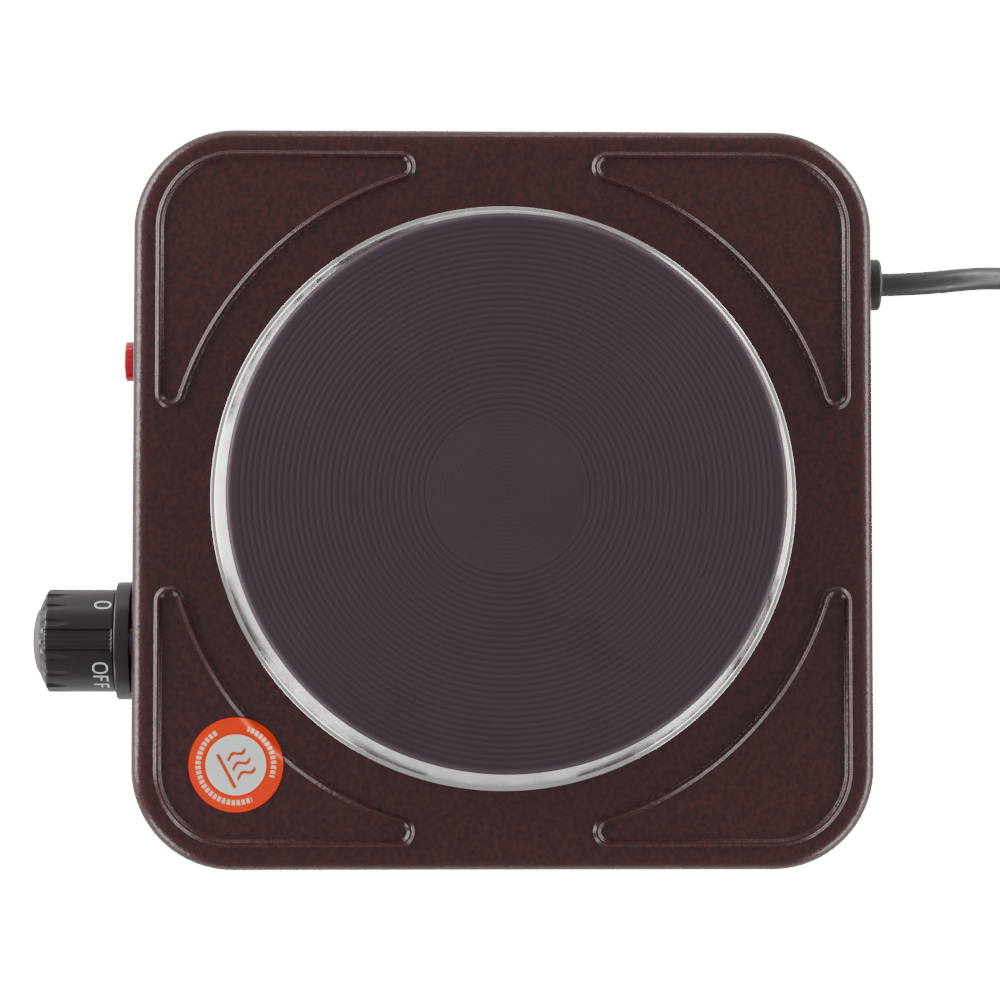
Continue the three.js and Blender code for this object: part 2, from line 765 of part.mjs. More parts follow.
const rivetBack = bimetalLevel + bimetalThickness + gap;
const stackRivet = turnedY([
  [0, frameFront],
  [rivetRadius, frameFront],
  [rivetRadius, rivetBack],
  [rivetRadius + 2, rivetBack],
  [rivetRadius + 2, rivetBack + rivetHead],
  [0, rivetBack + rivetHead],
], 16).translate(stackOffset, 0, 0);
onControl("stack_rivet", stackRivet, zincSteel);

// A flat strip across the spindle's axis; a strip that reaches the stack is pierced for the rivet.
function strip(x0, x1, level, thickness) {
  const bar = block(x0, x1, level, level + thickness, -leafWidth / 2, leafWidth / 2);
  if (x1 < stackOffset) return bar;
  return cut(bar, rod(rivetRadius + gap, level - 1, level + 2, 16).translate(stackOffset, 0, 0));
}

const contactRadius = 2;
const armContact = rod(contactRadius, armLevel, armLevel + leafThickness + contactHeight, 16);
const leafContact = rod(contactRadius, contactLevel - contactHeight, contactLevel + leafThickness, 16);
const contactArm = join(
  strip(leafEnd, hingeX - gap, armLevel, leafThickness),
  armContact.translate(-armReach, 0, 0),
);
onControl("contact_arm", contactArm, brass);
onControl("contact_arm_root", strip(hingeX + gap, tabEnd, armLevel, leafThickness), brass);
const contactLeaf = join(
  strip(leafEnd, tabEnd, contactLevel, leafThickness),
  leafContact.translate(-armReach, 0, 0),
);
onControl("contact_leaf", contactLeaf, brass);
onControl("bimetal_strip", strip(leafEnd, stackOffset + 4, bimetalLevel, bimetalThickness), copperNickel);

// Two screws hold the frame to the wall; the knob's skirt hides their heads.
[1, -1].forEach((side, i) => {
  const screw = turnedY([
    [0, -gap - 2],
    [thermostatScrewRadius + 1.1, -gap - 1.6],
    [thermostatScrewRadius + 1.4, -gap],
    [thermostatScrewRadius, -gap],
    [thermostatScrewRadius, 6],
    [0, 6],
  ], 14);
  screw.translate(0, 0, (side * thermostatScrewSpacing) / 2);
  onControl("thermostat_screw_" + (i + 1), screw, zincSteel);
});

// ---------------------------------------------------------------- pilot lamp
const lamp = new THREE.Group();
lamp.position.set(lampX, -halfSide, controlZ);
burner.add(lamp);
const lampStemBack = 12;
const lampFlange = 3.6;
const lensProfile = [
  [0, lampStemBack],
  [lampStemRadius, lampStemBack],
  [lampStemRadius, -gap],
  [lampRadius, -gap],
];
for (let i = 0; i <= 4; i++) {
  const angle = (i / 4) * (Math.PI / 2);
  const dome = (lampReach - lampFlange) * Math.sin(angle);
  lensProfile.push([i === 4 ? 0 : lampRadius * Math.cos(angle), -lampFlange - dome]);
}
piece("lamp_lens", turnedY(lensProfile, 24), redPlastic, 0, 0, 0, lamp);

const lampHolder = turnedY([
  [lampStemRadius + gap, sheet + gap],
  [lampRadius + 1, sheet + gap],
  [lampRadius + 1, lampStemBack + 4],
  [0, lampStemBack + 4],
  [0, lampStemBack + gap],
  [lampStemRadius + gap, lampStemBack + gap],
], 24);
piece("lamp_holder", lampHolder, blackPlastic, 0, 0, 0, lamp);

// ---------------------------------------------------------------- strain-relief bush
const bushBack = halfSide - sheet - gap; // its tapered body starts here, behind the rear wall
const bushBore = cordRadius + gap;
const bush = turnedY([
  [bushBore, bushBack - bushBodyLength],
  [bushNeckRadius - 1, bushBack - bushBodyLength],
  [bushNeckRadius + 1.5, bushBack],
  [bushNeckRadius, bushBack],
  [bushNeckRadius, halfSide + gap],
  [bushFlangeRadius, halfSide + gap],
  [bushFlangeRadius, halfSide + bushReach - 1.2],
  [bushFlangeRadius - 1.2, halfSide + bushReach],
  [bushBore, halfSide + bushReach],
], 24);
piece("cord_bush", bush, blackPlastic, cordX, 0, cordZ);

// ---------------------------------------------------------------- wiring inside
const cordInnerEnd = bushBack - bushBodyLength - 2;
const controlY = -halfSide;
const tabX = knobX + tabEnd + 1;
const armY = controlY + armLevel + leafThickness / 2;
const contactY = controlY + contactLevel + leafThickness / 2;
const wireRadius = 1.2;
const underElement = elementEndZ - gap - wireRadius - 0.2;
const [liveEnd, neutralEnd] = elementEnds.map(([x, y]) => [x + plateShiftX, y + plateShiftY, underElement]);

const alongBase = baseTop + 6; // height of the wires that run round the outside of the shield
const overShield = (shieldTop + clampBarTop - clampBarThickness) / 2;
const overRim = shieldTop + shieldRim + 4;
const pastNut = nutAcrossFlats / 2 + 15.5; // radius at which a wire passes the clamp nut
const outside = shieldRadius + 12; // distance from the middle at which they pass the shield
// A place at an angle round the middle of the housing, in degrees from +X.
function around(degrees, radius, z) {
  const angle = THREE.MathUtils.degToRad(degrees);
  return [radius * Math.cos(angle), radius * Math.sin(angle), z];
}

const wires = {
  live_wire: [liveBrown, wireRadius, 32, [
    [cordX - 2, cordInnerEnd - 1, cordZ + 1.2],
    around(126, outside + 14, (2 * cordZ + alongBase) / 3),
    around(103, outside, alongBase + 1),
    around(66, outside + 8, alongBase),
    around(35, outside + 16, alongBase),
    around(0, outside + 10, alongBase),
    around(-32, outside + 22, alongBase + 2),
    [tabX + 10, contactY + 9, controlZ - 5],
    [tabX, contactY, controlZ],
  ]],
  neutral_wire: [neutralBlue, wireRadius, 24, [
    [cordX + 2, cordInnerEnd - 1, cordZ + 1.2],
    around(128, shieldRadius + 18, overRim - 1),
    around(134, shieldRadius - 17, overRim - 0.2),
    around(150, pastNut + 10, overShield),
    around(214, pastNut, overShield),
    around(277, pastNut + 12, overShield),
    neutralEnd,
  ]],
  earth_wire: [earthGreen, wireRadius, 16, [
    [cordX, cordInnerEnd - 1, cordZ - 2],
    [cordX + 3, cordInnerEnd - 5, (cordZ + floorInside) / 2],
    [earthScrewX - 20, earthScrewY + 1, floorInside + 3],
    [earthScrewX - 5.5, earthScrewY, floorInside + wireRadius + gap],
  ]],
  switched_wire: [liveBrown, wireRadius, 20, [
    [tabX, armY, controlZ],
    [tabX + 7, armY + 4, controlZ + 5],
    around(-48, shieldRadius + 35, overRim + 0.5),
    around(-54, shieldRadius + 3, overRim + 0.3),
    liveEnd,
  ]],
  lamp_lead_1: [blackPlastic, 0.8, 16, [
    [lampX + 2, controlY + lampStemBack + 5, controlZ],
    [lampX + 25, contactY + 2, controlZ - 4],
    [knobX - 36, contactY + 3, controlZ - 4],
    [knobX + leafEnd - 1.2, contactY, controlZ],
  ]],
  lamp_lead_2: [blackPlastic, 0.8, 16, [
    [lampX - 2, controlY + lampStemBack + 5, controlZ],
    around(-120, shieldRadius + 22, overRim),
    around(-118, shieldRadius - 2, overRim),
    around(-103, shieldRadius - 20, overShield + 2),
    [neutralEnd[0] - 4, neutralEnd[1] - 4, neutralEnd[2]],
  ]],
};
for (const [name, [material, radius, steps, route]] of Object.entries(wires)) {
  piece(name, tube(route, radius, 6, steps), material);
}

const earthScrewTop = floorInside + screwHeadHeight;
const earthScrew = turnedZ([
  [0, floorInside - 5],
  [screwRadius, floorInside - 5],
  [screwRadius, floorInside],
  [screwHeadRadius, floorInside],
  [screwHeadRadius, earthScrewTop - 1],
  [screwHeadRadius * 0.7, earthScrewTop],
  [0, earthScrewTop],
], 14);
piece("earth_screw", earthScrew, brass, earthScrewX, earthScrewY, 0);

// ---------------------------------------------------------------- mains lead, coil and plug
const coilBottom = tieThickness + 2 * gap;
const coilTop = coilBottom + coilLayers * coilPitch;
const coilInside = coilTurnRadius - coilStagger - cordRadius;
const coilOutside = coilTurnRadius + coilStagger + cordRadius;
const coilX = leadEndX + coilTurnRadius;
const coilY = halfSide + coilBehind + coilOutside;
const coilTopTurn = coilY + coilTurnRadius; // where the last turn lets the lead go

// From inside the bush, through it, down to the table and up to the coil.
const leadRoute = [
  [cordX, cordInnerEnd, cordZ],
  [cordX, halfSide - 12, cordZ],
  [cordX, halfSide - 2, cordZ],
  [cordX, halfSide + 7, cordZ],
  [-72.6, halfSide + 16, 33.6],
  [-73.4, halfSide + 25, 32.1],
  [-74.6, halfSide + 34, 29.2],
  [-75.6, halfSide + 43, 24.8],
  [-76, halfSide + 52, 19.4],
  [-75.8, halfSide + 61, 14.2],
  [-75.4, halfSide + 70, 10],
  [-74.7, halfSide + 79, 7.2],
  [-73.8, halfSide + 87, 5.7],
];
piece("power_cord", tube(leadRoute, cordRadius, 10, 16), blackPlastic);

const coil = turnedZ([
  [coilInside, coilBottom + 2],
  [coilInside + 2, coilBottom],
  [coilOutside - 2, coilBottom],
  [coilOutside, coilBottom + 2],
  [coilOutside, coilTop - 2],
  [coilOutside - 2, coilTop],
  [coilInside + 2, coilTop],
  [coilInside, coilTop - 2],
], 32);
piece("cord_coil", coil, blackPlastic, coilX, coilY, 0);

// A flat tie wrapped round the coil's turns.
function coilTie() {
  const half = coilStagger + cordRadius + gap;
  const top = coilTop + gap;
  const bottom = coilBottom - gap;
  const wrap = new THREE.Shape();
  wrap.moveTo(-half - tieThickness, bottom - tieThickness);
  wrap.lineTo(half + tieThickness, bottom - tieThickness);
  wrap.lineTo(half + tieThickness, top + tieThickness);
  wrap.lineTo(-half - tieThickness, top + tieThickness);
  wrap.closePath();
  const inside = new THREE.Path();
  inside.moveTo(-half, bottom);
  inside.lineTo(half, bottom);
  inside.lineTo(half, top);
  inside.lineTo(-half, top);
  inside.closePath();
  wrap.holes.push(inside);
  return slab(wrap, -tieWidth / 2, tieWidth / 2).rotateX(Math.PI / 2);
}
const tieTurn = Math.PI * 0.75; // where all the turns lie over one another
const tieX = coilX + coilTurnRadius * Math.cos(tieTurn);
const tieY = coilY + coilTurnRadius * Math.sin(tieTurn);
piece("coil_tie", coilTie().rotateZ(tieTurn), blackPlastic, tieX, tieY, 0);

// The plug lies on the table on its tail and the rim of its round face.
const plug = new THREE.Group();
const plugTilt = Math.atan2(plugRadius - plugTailRadius, plugShoulder);
const plugTailZ = plugTailRadius * Math.cos(plugTilt) + 0.1;
plug.position.set(coilX + 93, coilTopTurn - 15, plugTailZ);
plug.rotation.set(0, -plugTilt, -0.36, "ZYX");
burner.add(plug);
const alongPlug = (geometry) => geometry.rotateZ(-Math.PI / 2); // turned about Y, then laid along +X

const plugLeadRoute = [
  [coilX + 32, coilTopTurn - 0.8, 23.6],
  [coilX + 43, coilTopTurn - 2.2, 19],
  [coilX + 54, coilTopTurn - 4.2, 13.8],
  [coilX + 65, coilTopTurn - 7, 9.2],
  [coilX + 76, coilTopTurn - 10.2, 6],
  [coilX + 86, coilTopTurn - 13.2, 5.4],
  [coilX + 92.4, coilTopTurn - 14.8, plugTailZ - 0.2],
];
piece("plug_lead", tube(plugLeadRoute, cordRadius, 10, 12), blackPlastic);

const pinSocket = 8;
function plugBody() {
  const turned = alongPlug(turnedY([
    [0, 0],
    [plugTailRadius - 1, 0],
    [plugTailRadius, 1],
    [plugTailRadius + 1.6, 14],
    [plugTailRadius + 4.6, 24],
    [plugTailRadius + 8, plugShoulder - 4],
    [plugRadius, plugShoulder],
    [plugRadius, plugLength - 1],
    [plugRadius - 1, plugLength],
    [0, plugLength],
  ], 28));
  const leadHole = rod(cordRadius + gap, -1, 1).rotateZ(-Math.PI / 2);
  const pinHoles = [1, -1].map((side) =>
    alongPlug(rod(pinRadius + gap, plugLength - pinSocket, plugLength + 1, 16)).translate(
      0,
      (side * pinSpacing) / 2,
      0,
    ),
  );
  const clipSlots = [1, -1].map((side) => clipBlock(side, clipWidth / 2 + gap, clipThickness + 2 * gap, gap));
  return cut(turned, leadHole, ...pinHoles, ...clipSlots);
}

const clipWidth = 5;
const clipThickness = 1;
const clipLength = 9;
// A block in the rim of the round face, above or below the pins.
function clipBlock(side, halfWidth, depth, more) {
  const outer = plugRadius + (more ? 2 : -0.7 - more);
  const inner = plugRadius - 0.7 - depth;
  const [z0, z1] = side > 0 ? [inner, outer] : [-outer, -inner];
  const front = plugLength + (more ? 1 : -0.5);
  return block(plugLength - clipLength - more, front, -halfWidth, halfWidth, z0, z1);
}
piece("plug_body", plugBody(), blackPlastic, 0, 0, 0, plug);

[1, -1].forEach((side, i) => {
  const pin = alongPlug(turnedY([
    [0, plugLength - pinSocket + gap],
    [pinRadius, plugLength - pinSocket + gap],
    [pinRadius, plugLength + pinLength - 2],
    [pinRadius * 0.4, plugLength + pinLength],
    [0, plugLength + pinLength],
  ], 16));
  piece("plug_pin_" + (i + 1), pin, brightSteel, 0, (side * pinSpacing) / 2, 0, plug);
  const clip = clipBlock(side, clipWidth / 2, clipThickness, 0);
  piece("plug_earth_clip_" + (i + 1), clip, brass, 0, 0, 0, plug);
});

// ---------------------------------------------------------------- sticker
// A round sticker in one corner field, pressed over the bead where the two meet.
function sticker() {
  const under = 0.05;
  const over = 0.15;
  const bottom = housingTop + under;
  const inPlace = (top) => disc(stickerRadius, bottom, top, 48).translate(stickerOffset, -stickerOffset, 0);
  const outline = inPlace(bottom + 3);
  const flat = inPlace(bottom + stickerThickness);
  const draped = overlapOf(join(flat, bead(3, over + stickerThickness)), outline);
  return cut(draped, bead(3, over));
}
piece("sticker", sticker(), stickerOrange);

export default hotPlateBurner;
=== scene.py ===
"""Portable electric hot plate: the looks of every piece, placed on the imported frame."""

import bmesh
import bpy
import json
import math
from mathutils import Matrix, Vector

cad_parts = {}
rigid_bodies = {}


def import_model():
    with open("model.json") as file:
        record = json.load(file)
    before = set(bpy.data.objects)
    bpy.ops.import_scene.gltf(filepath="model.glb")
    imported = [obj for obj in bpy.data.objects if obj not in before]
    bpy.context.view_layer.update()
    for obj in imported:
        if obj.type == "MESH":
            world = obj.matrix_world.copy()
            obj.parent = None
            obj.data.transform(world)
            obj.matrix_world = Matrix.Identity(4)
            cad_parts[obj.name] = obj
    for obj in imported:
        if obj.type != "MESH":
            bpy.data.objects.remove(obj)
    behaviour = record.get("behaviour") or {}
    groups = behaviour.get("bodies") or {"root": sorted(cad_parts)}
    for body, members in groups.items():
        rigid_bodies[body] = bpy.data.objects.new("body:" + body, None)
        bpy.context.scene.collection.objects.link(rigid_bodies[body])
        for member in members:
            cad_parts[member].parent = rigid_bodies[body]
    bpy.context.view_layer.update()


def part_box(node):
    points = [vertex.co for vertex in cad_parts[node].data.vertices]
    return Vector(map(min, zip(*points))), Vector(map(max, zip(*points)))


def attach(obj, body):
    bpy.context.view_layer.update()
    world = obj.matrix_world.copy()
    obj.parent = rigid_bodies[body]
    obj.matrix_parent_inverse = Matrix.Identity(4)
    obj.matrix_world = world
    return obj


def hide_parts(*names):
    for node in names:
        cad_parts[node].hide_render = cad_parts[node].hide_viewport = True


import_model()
mm = 0.001
scene_objects = bpy.context.scene.collection.objects

# ------------------------------------------------------------------ table, light and camera
# The hot plate stands on a white table and is seen from almost straight above, its knob to the
# left. Two wide soft lamps stand before the knob and behind the lead, and weaker ones round them.
shell_low, shell_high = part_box("housing_shell")
middle = (shell_low + shell_high) / 2
front = shell_low.y
rear = shell_high.y
wall_side = shell_high.x

eye = Vector((60.5 * mm, middle.y - 32 * mm, 1158 * mm))
aim = Vector((0.5 * mm, middle.y - 1.1 * mm, 53 * mm))
lens_length = 122.9

camera_data = bpy.data.cameras.new("camera")
camera_data.lens = lens_length
camera_data.sensor_width = 36
camera = bpy.data.objects.new("camera", camera_data)
scene_objects.link(camera)


def facing(place, target, upward):
    """The turned frame of something at a place that looks at a target, its top towards upward."""
    back = (place - target).normalized()
    right = upward.cross(back).normalized()
    up = back.cross(right)
    turned = Matrix((right, up, back)).transposed().to_4x4()
    return Matrix.Translation(place) @ turned


camera.matrix_world = facing(eye, aim, Vector((-1, 0, 0)))
bpy.context.scene.camera = camera


def soft_lamp(name, place, size, power, colour=(1, 1, 1)):
    """A rectangular studio lamp that shines on the middle of the hot plate."""
    data = bpy.data.lights.new(name, "AREA")
    data.shape = "RECTANGLE"
    data.size, data.size_y = size
    data.energy = power
    data.color = colour
    lamp = bpy.data.objects.new(name, data)
    scene_objects.link(lamp)
    lamp.matrix_world = facing(Vector(place), aim, Vector((0, 0, 1)))


soft_lamp("lamp_before_knob", (-0.25, middle.y - 1.15, 0.3), (1.0, 0.5), 20)
soft_lamp("lamp_behind_lead", (-0.1, middle.y + 1.15, 0.28), (1.6, 0.4), 17)
soft_lamp("lamp_by_red_lens", (-1.2, middle.y - 0.15, 0.3), (0.9, 0.2), 2, (0.88, 0.94, 1))
for side_x in (-1, 1):
    for side_y in (-1, 1):
        soft_lamp("lamp_at_corner", (0.85 * side_x, middle.y + 0.85 * side_y, 0.28), (0.5, 0.4), 6.5)

world = bpy.data.worlds.new("studio")
world.use_nodes = True
world.node_tree.nodes["Background"].inputs["Color"].default_value = (1, 1, 1, 1)
world.node_tree.nodes["Background"].inputs["Strength"].default_value = 0.48
bpy.context.scene.world = world


class Reading:
    """A number that changes over a surface. Python's operators on it add Math nodes."""

    def __init__(self, socket):
        self.socket = socket

    def maths(self, operation, *values):
        """One Math node on the given readings and numbers."""
        tree = self.socket.id_data
        node = tree.nodes.new("ShaderNodeMath")
        node.operation = operation
        for slot, value in zip(node.inputs, values):
            plug_in(slot, value)
        return Reading(node.outputs[0])

    def __add__(self, other):
        return self.maths("ADD", self, other)

    def __radd__(self, other):
        return self.maths("ADD", other, self)

    def __sub__(self, other):
        return self.maths("SUBTRACT", self, other)

    def __rsub__(self, other):
        return self.maths("SUBTRACT", other, self)

    def __mul__(self, other):
        return self.maths("MULTIPLY", self, other)

    def __truediv__(self, other):
        return self.maths("DIVIDE", self, other)

    def __pow__(self, other):
        return self.maths("POWER", self, other)

    def cosine(self):
        return self.maths("COSINE", self)

    def at_most(self, limit):
        """The reading, or the limit where the reading is over it."""
        return self.maths("MINIMUM", self, limit)

    def wrapped(self, limit):
        """The reading brought into 0 to the limit by whole turns of it."""
        return self.maths("WRAP", self, limit, 0)

    def direction_with(self, other):
        """The angle of the arrow that goes this far up and the other reading's length along."""
        return self.maths("ARCTAN2", self, other)

    def __gt__(self, other):
        return self.maths("GREATER_THAN", self, other)

    def __lt__(self, other):
        return self.maths("LESS_THAN", self, other)


def plug_in(slot, value):
    """Links a reading or a socket to a node's input, or sets the input to a plain value."""
    if isinstance(value, Reading):
        value = value.socket
    if isinstance(value, bpy.types.NodeSocket):
        slot.id_data.links.new(value, slot)
    elif hasattr(value, "__len__") and len(value) == 3 and len(getattr(slot, "default_value", ())) == 4:
        slot.default_value = (*value, 1)
    else:
        slot.default_value = value


def add_node(tree, kind, settings=None, values=None):
    """Any node: its type, its settings, then the values or links of its sockets."""
    node = tree.nodes.new(kind)
    for name, value in (settings or {}).items():
        setattr(node, name, value)
    for name, value in (values or {}).items():
        plug_in(node.inputs[name], value)
    return node


def paint(red, green, blue):
    """A colour written in 0 to 255 as a paint chart gives it, in the linear values shaders use."""
    shares = [level / 255 for level in (red, green, blue)]
    return tuple(((c + 0.055) / 1.055) ** 2.4 if c > 0.04 else c / 12.92 for c in shares)


class Finish:
    """A material being made up on the standard surface shader."""

    def __init__(self, name, **surface):
        self.material = bpy.data.materials.new(name)
        self.material.use_nodes = True
        self.tree = self.material.node_tree
        self.surface = self.tree.nodes["Principled BSDF"]
        self.place = self.add("ShaderNodeTexCoord").outputs["Object"]
        self.set(**surface)

    def add(self, kind, settings=None, values=None):
        return add_node(self.tree, kind, settings, values)

    def set(self, **values):
        """Surface sockets by name, an underscore for each space."""
        for name, value in values.items():
            plug_in(self.surface.inputs[name.replace("_", " ")], value)

    def noise(self, size, detail=3, rough=0.55, place=None):
        """Cloudy variation from 0 to 1, its blotches about size millimetres across."""
        values = {"Vector": place or self.place, "Scale": 1000 / size, "Detail": detail, "Roughness": rough}
        return Reading(self.add("ShaderNodeTexNoise", None, values).outputs[0])

    def cells(self, size, feature="SMOOTH_F1", place=None):
        """Distance from the nearest of many points that lie about size millimetres apart."""
        values = {"Vector": place or self.place, "Scale": 1000 / size}
        return Reading(self.add("ShaderNodeTexVoronoi", {"feature": feature}, values).outputs["Distance"])

    def stretched(self, x, y, z):
        """The place on the piece with each direction multiplied, for streaks."""
        node = self.add("ShaderNodeVectorMath", {"operation": "MULTIPLY"}, {0: self.place, 1: (x, y, z)})
        return node.outputs[0]

    def between(self, reading, low, high, to_low=0.0, to_high=1.0):
        """A reading from low to high as one from to_low to to_high, held at the ends."""
        values = {0: reading, 1: low, 2: high, 3: to_low, 4: to_high}
        return Reading(self.add("ShaderNodeMapRange", None, values).outputs[0])

    def mixed(self, share, under, over):
        """One colour turning into another as the share goes from 0 to 1."""
        node = self.add("ShaderNodeMix", {"data_type": "RGBA"}, {0: share, 6: under, 7: over})
        return node.outputs[2]

    def tint(self, share, under, over):
        """Colours the surface from one paint to another."""
        self.set(Base_Color=self.mixed(share, under, over))

    def roughen(self, reading, glossy, dull):
        """Roughness from glossy to dull over the middle of a noise's spread."""
        self.set(Roughness=self.between(reading, 0.3, 0.7, glossy, dull))

    def axes(self, place=None):
        """The place on the piece as three readings."""
        parts = self.add("ShaderNodeSeparateXYZ", None, {0: place or self.place})
        return [Reading(socket) for socket in parts.outputs]

    def bumps(self, height, depth, strength=1.0):
        """Shades the surface as if it rose and fell by depth millimetres."""
        values = {"Height": height, "Distance": depth * mm, "Strength": strength}
        self.set(Normal=self.add("ShaderNodeBump", None, values).outputs[0])


table_finish = Finish("table_white", Roughness=0.9, Specular_IOR_Level=0.0)
grain = table_finish.noise(3)
table_finish.tint(grain, (0.86, 0.86, 0.86), (0.92, 0.92, 0.92))
seen = Reading(table_finish.add("ShaderNodeLightPath").outputs["Is Camera Ray"])
table_glow = table_finish.mixed(seen, (0.0123, 0.0123, 0.0123), (1, 1, 1))
table_finish.set(Emission_Color=table_glow, Emission_Strength=16.2)
table_reach = 6.0
table_mesh = bpy.data.meshes.new("table")
table_level = -0.5 * mm
square_corners = ((-1, -1), (1, -1), (1, 1), (-1, 1))
table_corners = [(x * table_reach, y * table_reach, table_level) for x, y in square_corners]
table_mesh.from_pydata(table_corners, [], [(0, 1, 2, 3)])
table_mesh.materials.append(table_finish.material)
table = bpy.data.objects.new("table", table_mesh)
scene_objects.link(table)

# ------------------------------------------------------------------ mains lead
# A round black PVC lead. It leaves the bush in the rear wall, bends down to the table and ends,
# wound up and tied for storage, at its plug. It is extruded, so it is smooth and faintly glossy.
cord_radius = 3.9 * mm
cord_x = -72.2 * mm
cord_z = 34 * mm
coil_turn_radius = 40 * mm
coil_stagger = 1.5 * mm
coil_pitch = 7.9 * mm
coil_turns = 3.25
coil_crossing = 0.28
coil_middle = Vector((-30 * mm, rear + 116 * mm, 5.1 * mm))
plug_tail = Vector((63 * mm, rear + 141 * mm, 6.77 * mm))


def spoke(reach, angle, height=0):
    """A place that far from the Z axis, in a direction round it, at a height."""
    return Vector((reach * math.cos(angle), reach * math.sin(angle), height))


def smooth_step(value, low, high):
    """0 below low, 1 above high and an even S between them."""
    share = min(1, max(0, (value - low) / (high - low)))
    return share * share * (3 - 2 * share)


def lead_points():
    """The lead's route: out of the bush and down to the table, round its coil, and to the plug. In the
    last part of each turn it crosses over the turn below and climbs on top of it."""
    falling = [
        (-72.2, -24, 34), (-72.2, -12, 34), (-72.2, -2, 34), (-72.2, 7, 34), (-72.6, 16, 33.6),
        (-73.4, 25, 32.1), (-74.6, 34, 29.2), (-75.6, 43, 24.8), (-76, 52, 19.4), (-75.8, 61, 14.2),
        (-75.4, 70, 10), (-74.7, 79, 7.2), (-73.8, 87, 5.7),
    ]
    route = [Vector((x * mm, rear + y * mm, z * mm)) for x, y, z in falling]
    steps_per_turn = 24
    for step in range(1, round(coil_turns * steps_per_turn) + 1):
        turn = step / steps_per_turn
        layer = math.floor(turn + 1e-9)
        climb = smooth_step(turn - layer, 1 - coil_crossing, 1)
        side = (1 if layer % 2 else -1) * (1 - 2 * climb)
        angle = math.pi - turn * 2 * math.pi
        reach = coil_turn_radius + side * coil_stagger
        height = coil_pitch * (layer + climb)
        route.append(coil_middle + spoke(reach, angle, height))
    to_plug = [
        (32, 39.2, 23.6), (43, 37.8, 19), (54, 35.8, 13.8), (65, 33, 9.2),
        (76, 29.8, 6), (86, 26.8, 5.4), (92.4, 25.2, 6.57), (96.5, 23.9, 7.8),
    ]
    route += [Vector((coil_middle.x + x * mm, coil_middle.y + y * mm, z * mm)) for x, y, z in to_plug]
    return route


def smoothly(points, steps=6):
    """A smooth run through the points, with steps between each two of them."""
    ends = [points[0] * 2 - points[1], *points, points[-1] * 2 - points[-2]]
    run = []
    for a, b, c, d in zip(ends, ends[1:], ends[2:], ends[3:]):
        t0, t1 = 0, (b - a).length ** 0.5
        t2 = t1 + (c - b).length ** 0.5
        t3 = t2 + (d - c).length ** 0.5
        for step in range(steps):
            t = t1 + (t2 - t1) * step / steps
            ab = a.lerp(b, (t - t0) / (t1 - t0))
            bc = b.lerp(c, (t - t1) / (t2 - t1))
            cd = c.lerp(d, (t - t2) / (t3 - t2))
            abc = ab.lerp(bc, (t - t0) / (t2 - t0))
            bcd = bc.lerp(cd, (t - t1) / (t3 - t1))
            run.append(abc.lerp(bcd, (t - t1) / (t2 - t1)))
    return [*run, points[-1]]


def line_of(name, places, endless=False):
    """A curve object: one line through the places."""
    data = bpy.data.curves.new(name, "CURVE")
    data.dimensions = "3D"
    line = data.splines.new("POLY")
    line.points.add(len(places) - 1)
    line.use_cyclic_u = endless
    for point, place in zip(line.points, places):
        point.co = (*place, 1)
    return bpy.data.objects.new(name, data)


cord_finish = Finish("cord_pvc", Specular_IOR_Level=0.45)
rubbed = cord_finish.noise(9)
cord_finish.tint(rubbed, paint(46, 41, 47), paint(62, 56, 63))
cord_finish.roughen(cord_finish.noise(2.5), 0.3, 0.46)
cord_finish.bumps(cord_finish.noise(1.4, 4), 0.05, 0.5)

lead_run = smoothly(lead_points())
lead_length = sum((b - a).length for a, b in zip(lead_run, lead_run[1:]))
mains_lead = line_of("mains_lead", lead_run)
mains_lead.data.bevel_depth = cord_radius
mains_lead.data.bevel_resolution = 8
mains_lead.data.use_fill_caps = True
mains_lead.data.materials.append(cord_finish.material)
scene_objects.link(mains_lead)
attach(mains_lead, "housing")
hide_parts("power_cord", "cord_coil", "plug_lead")

# ------------------------------------------------------------------ plug
# A round two-pin earthed plug, moulded in black plastic round the lead's end. Its nickel-plated
# pins and the earth clips in its rim are cast in; ribs round the tail are the moulded strain relief.


def softened(corners, steps=4):
    """A run of (across, along, radius) corners as places, each corner rounded to its radius."""
    run = []
    for i, (across, along, radius) in enumerate(corners):
        here = Vector((across, along))
        if radius == 0 or i in (0, len(corners) - 1):
            run.append(here)
            continue
        back = Vector(corners[i - 1][:2]) - here
        ahead = Vector(corners[i + 1][:2]) - here
        half = back.angle(ahead) / 2
        reach = min(radius / math.tan(half), 0.49 * back.length, 0.49 * ahead.length)
        round_middle = here + (back.normalized() + ahead.normalized()).normalized() * reach / math.cos(half)
        begin = here + back.normalized() * reach - round_middle
        sweep = begin.angle_signed(here + ahead.normalized() * reach - round_middle)
        for step in range(steps + 1):
            turn = Matrix.Rotation(-sweep * step / steps, 2)
            run.append(round_middle + turn @ begin)
    return run


def through_rings(rings, endless=False):
    """A surface through rings of places, each ring closed on itself. A ring of one place is a pole,
    and an endless surface goes back to its first ring."""
    places = [place for ring in rings for place in ring]
    starts = [sum(len(ring) for ring in rings[:i]) for i in range(len(rings))]
    faces = []
    for i in range(len(rings) if endless else len(rings) - 1):
        j = (i + 1) % len(rings)
        one, other = len(rings[i]), len(rings[j])
        for k in range(max(one, other)):
            after = (k + 1) % max(one, other)
            corners = (
                starts[i] + k % one, starts[i] + after % one,
                starts[j] + after % other, starts[j] + k % other,
            )
            faces.append(list(dict.fromkeys(corners)))
    return places, faces


